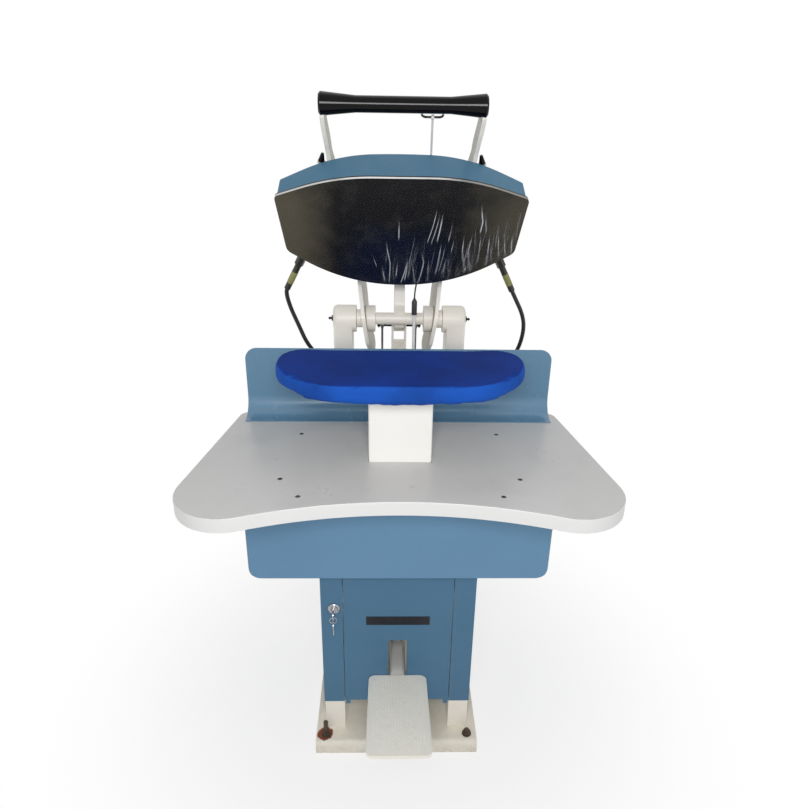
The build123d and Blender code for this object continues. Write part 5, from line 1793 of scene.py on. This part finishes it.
@dataclass
class Head:
    """The hinged head: shoe, cover, arms, pivot and what hangs from it."""

    shop: Workshop
    ferrule_place: Point = (0.238, 0.206, 0.0025)
    ferrule_splay: float = 25.5
    sleeve_span: tuple[float, float] = (0.060, 0.098)
    sleeve_radius: float = 0.0084
    sleeve_sides: int = 24

    def build(self) -> None:
        """Dresses the head's nodes and lays the film on the platen."""
        flat = Enamel(
            "cover_enamel", srgb(76, 122, 150), srgb(66, 110, 138), (0.4, 0.5), 0.0, wear=0.2, specular=0.1,
        )
        # the arm enamel paints shade in tan on the sides of the arms that face each other
        arms = ArmEnamel(
            "arm_enamel", srgb(246, 242, 233), srgb(234, 228, 215), wear_colour=srgb(186, 176, 156),
        )
        dark = Metal("dark_fittings", srgb(64, 63, 58), srgb(34, 33, 30), (0.35, 0.5), metallic=0.6)
        self.shop.refine("head_shoe", Slot.PLATEN, 0.0006)
        self.shop.refine("head_cover", Slot.CASING, 0.0, flat.make())
        self.shop.paint("head_insulation", Slot.WOOL)
        self.shop.dress(Slot.CREAM, 0.001, "left_arm", "right_arm", material=arms.make())
        self.shop.dress(Slot.CREAM, 0.001, "yoke_tube", "cross_bars", "centre_lever", "push_rod")
        self.shop.dress(Slot.STEEL, 0.0, "pivot_shaft", "spring_rods")
        self.shop.refine("cross_pin", Slot.BLACK_STEEL, 0.0004)
        self.shop.dress(Slot.ZINC, 0.0004, "hanger_studs", "cap_bolts", "handle_screws")
        self.shop.refine("hose_ends", Slot.BLACK_STEEL, 0.0004, dark.make())
        self.shop.refine("cap_nuts", Slot.GRIP, 0.0006)
        self.sleeves()
        PlatenFilm(self.shop).build()

    def sleeves(self) -> None:
        """Puts a plain coloured sleeve round each hose's ferrule."""
        splay = math.radians(self.ferrule_splay)
        x, u, w = self.ferrule_place
        count = self.sleeve_sides
        points: list[Vector] = []
        faces: list[list[int]] = []
        for side in (-1.0, 1.0):
            ends = []
            for reach in self.sleeve_span:
                ends.append(head_point(side * (x + reach * math.sin(splay)), u - reach * math.cos(splay), w))
            axis = (ends[1] - ends[0]).normalized()
            across = axis.cross(HEAD_UP).normalized()
            upward = axis.cross(across)
            first = len(points)
            for end in ends:
                for number in range(count):
                    turn = 2 * math.pi * number / count
                    outward = across * math.cos(turn) + upward * math.sin(turn)
                    points.append(end + outward * self.sleeve_radius)
            for number in range(count):
                following = (number + 1) % count
                lower, upper = first + number, first + following
                faces.append([lower, upper, upper + count, lower + count])
            faces.append([first + number for number in range(count - 1, -1, -1)])
            faces.append([first + count + number for number in range(count)])
        material = Moulding("marking_sleeve", srgb(150, 150, 92), srgb(96, 96, 60), (0.4, 0.6)).make()
        piece = mesh_piece("hose_end_sleeves", points, faces, material)
        smooth(piece.data, 50.0)
        self.shop.mount(piece, "head", Slot.HOSE)


@dataclass
class HandControl:
    """The two-handed grip, the finger ring, its rod and the valve that it works."""

    shop: Workshop

    def build(self) -> None:
        """Dresses the control's nodes."""
        rod = RodEnamel("valve_rod_enamel", srgb(232, 232, 230), srgb(214, 214, 210), wear=0.3)
        self.shop.refine("handle_grip", Slot.GRIP)
        self.shop.refine("steam_trigger", Slot.BLACK_STEEL)
        self.shop.refine("trigger_bracket", Slot.BLACK_STEEL, 0.0005)
        self.shop.refine("trigger_rod", Slot.WHITE_STEEL)
        self.shop.refine("valve_rod", Slot.WHITE_STEEL, 0.0, rod.make())
        self.shop.refine("spray_valve", Slot.BRONZE, 0.0006)
        self.shop.refine("steam_pipes", Slot.PIPE)
        self.shop.refine("riser_fittings", Slot.ZINC, 0.0004)


@dataclass
class Pedal:
    """The pedal lever and its tread plate."""

    shop: Workshop
    pitch: float = 0.0075
    margin: float = 0.009
    corner: float = 0.028
    lozenge: tuple[float, float, float] = (0.0062, 0.0026, 0.0007)

    def build(self) -> None:
        """Dresses the pedal and covers its plate with lozenges."""
        # painted light: the pedal arm takes a lighter copy of the cream enamel to stand for light inside the
        # slot
        lit = Enamel("pedal_arm_enamel_painted_light", srgb(254, 252, 246), srgb(246, 242, 234), wear=0.3, specular=0.5)
        self.shop.refine("pedal_arm", Slot.CREAM, 0.001, lit.make())
        self.shop.refine("pedal_plate", Slot.TREAD, 0.0012)
        places = [vertex.co - PEDAL_AXLE for vertex in frame["nodes"]["pedal_plate"].data.vertices]
        ahead = [place.dot(PEDAL_FORWARD) for place in places]
        top = max(place.dot(PEDAL_UP) for place in places)
        half = max(place.x for place in places) - self.margin
        start, end = min(ahead) + self.margin, max(ahead) - self.margin
        points = []
        turns = []
        columns = int(half / self.pitch)
        for row in range(int((end - start) / self.pitch) + 1):
            for column in range(-columns, columns + 1):
                a = start + row * self.pitch
                x = column * self.pitch
                short = max(0.0, self.corner - min(a - start, end - a))
                narrow = max(0.0, self.corner - (half - abs(x)))
                if math.hypot(short, narrow) > self.corner:
                    continue
                points.append(pedal_point(x, a, top))
                turns.append(math.radians(45.0 if (row + column) % 2 else -45.0))
        length, width, height = self.lozenge
        piece = tread_tree().run(point_cloud("pedal_tread", points, PEDAL_UP, turns), {
            "Lozenge Length": length, "Lozenge Width": width, "Lozenge Height": height,
            "Material": self.shop.finishes[Slot.TREAD],
        })
        self.shop.mount(piece, "pedal", Slot.TREAD)
        log.info("%d lozenges on the tread", len(points))


def corners() -> list[list[float]]:
    """The shown object's lowest and highest corner as plain numbers."""
    return [[float(value) for value in corner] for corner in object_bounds()]


def main() -> None:
    """Builds the press in order."""
    logging.basicConfig(level=logging.INFO, format="%(message)s")
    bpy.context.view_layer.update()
    PhotoCamera().build()
    shop = Workshop(all_finishes())
    SteamHoses(shop).build()
    fasteners = Fasteners(shop, fastener_tree())
    FrameWork(shop).build()
    BalanceSprings(shop).build()
    Casing(shop, fasteners).build()
    WorkTable(shop, fasteners).build()
    Buck(shop).build()
    Head(shop).build()
    HandControl(shop).build()
    Pedal(shop).build()
    Studio().build()
    log.info("%d pieces made", len(shop.made))


if __name__ == "__main__":
    main()
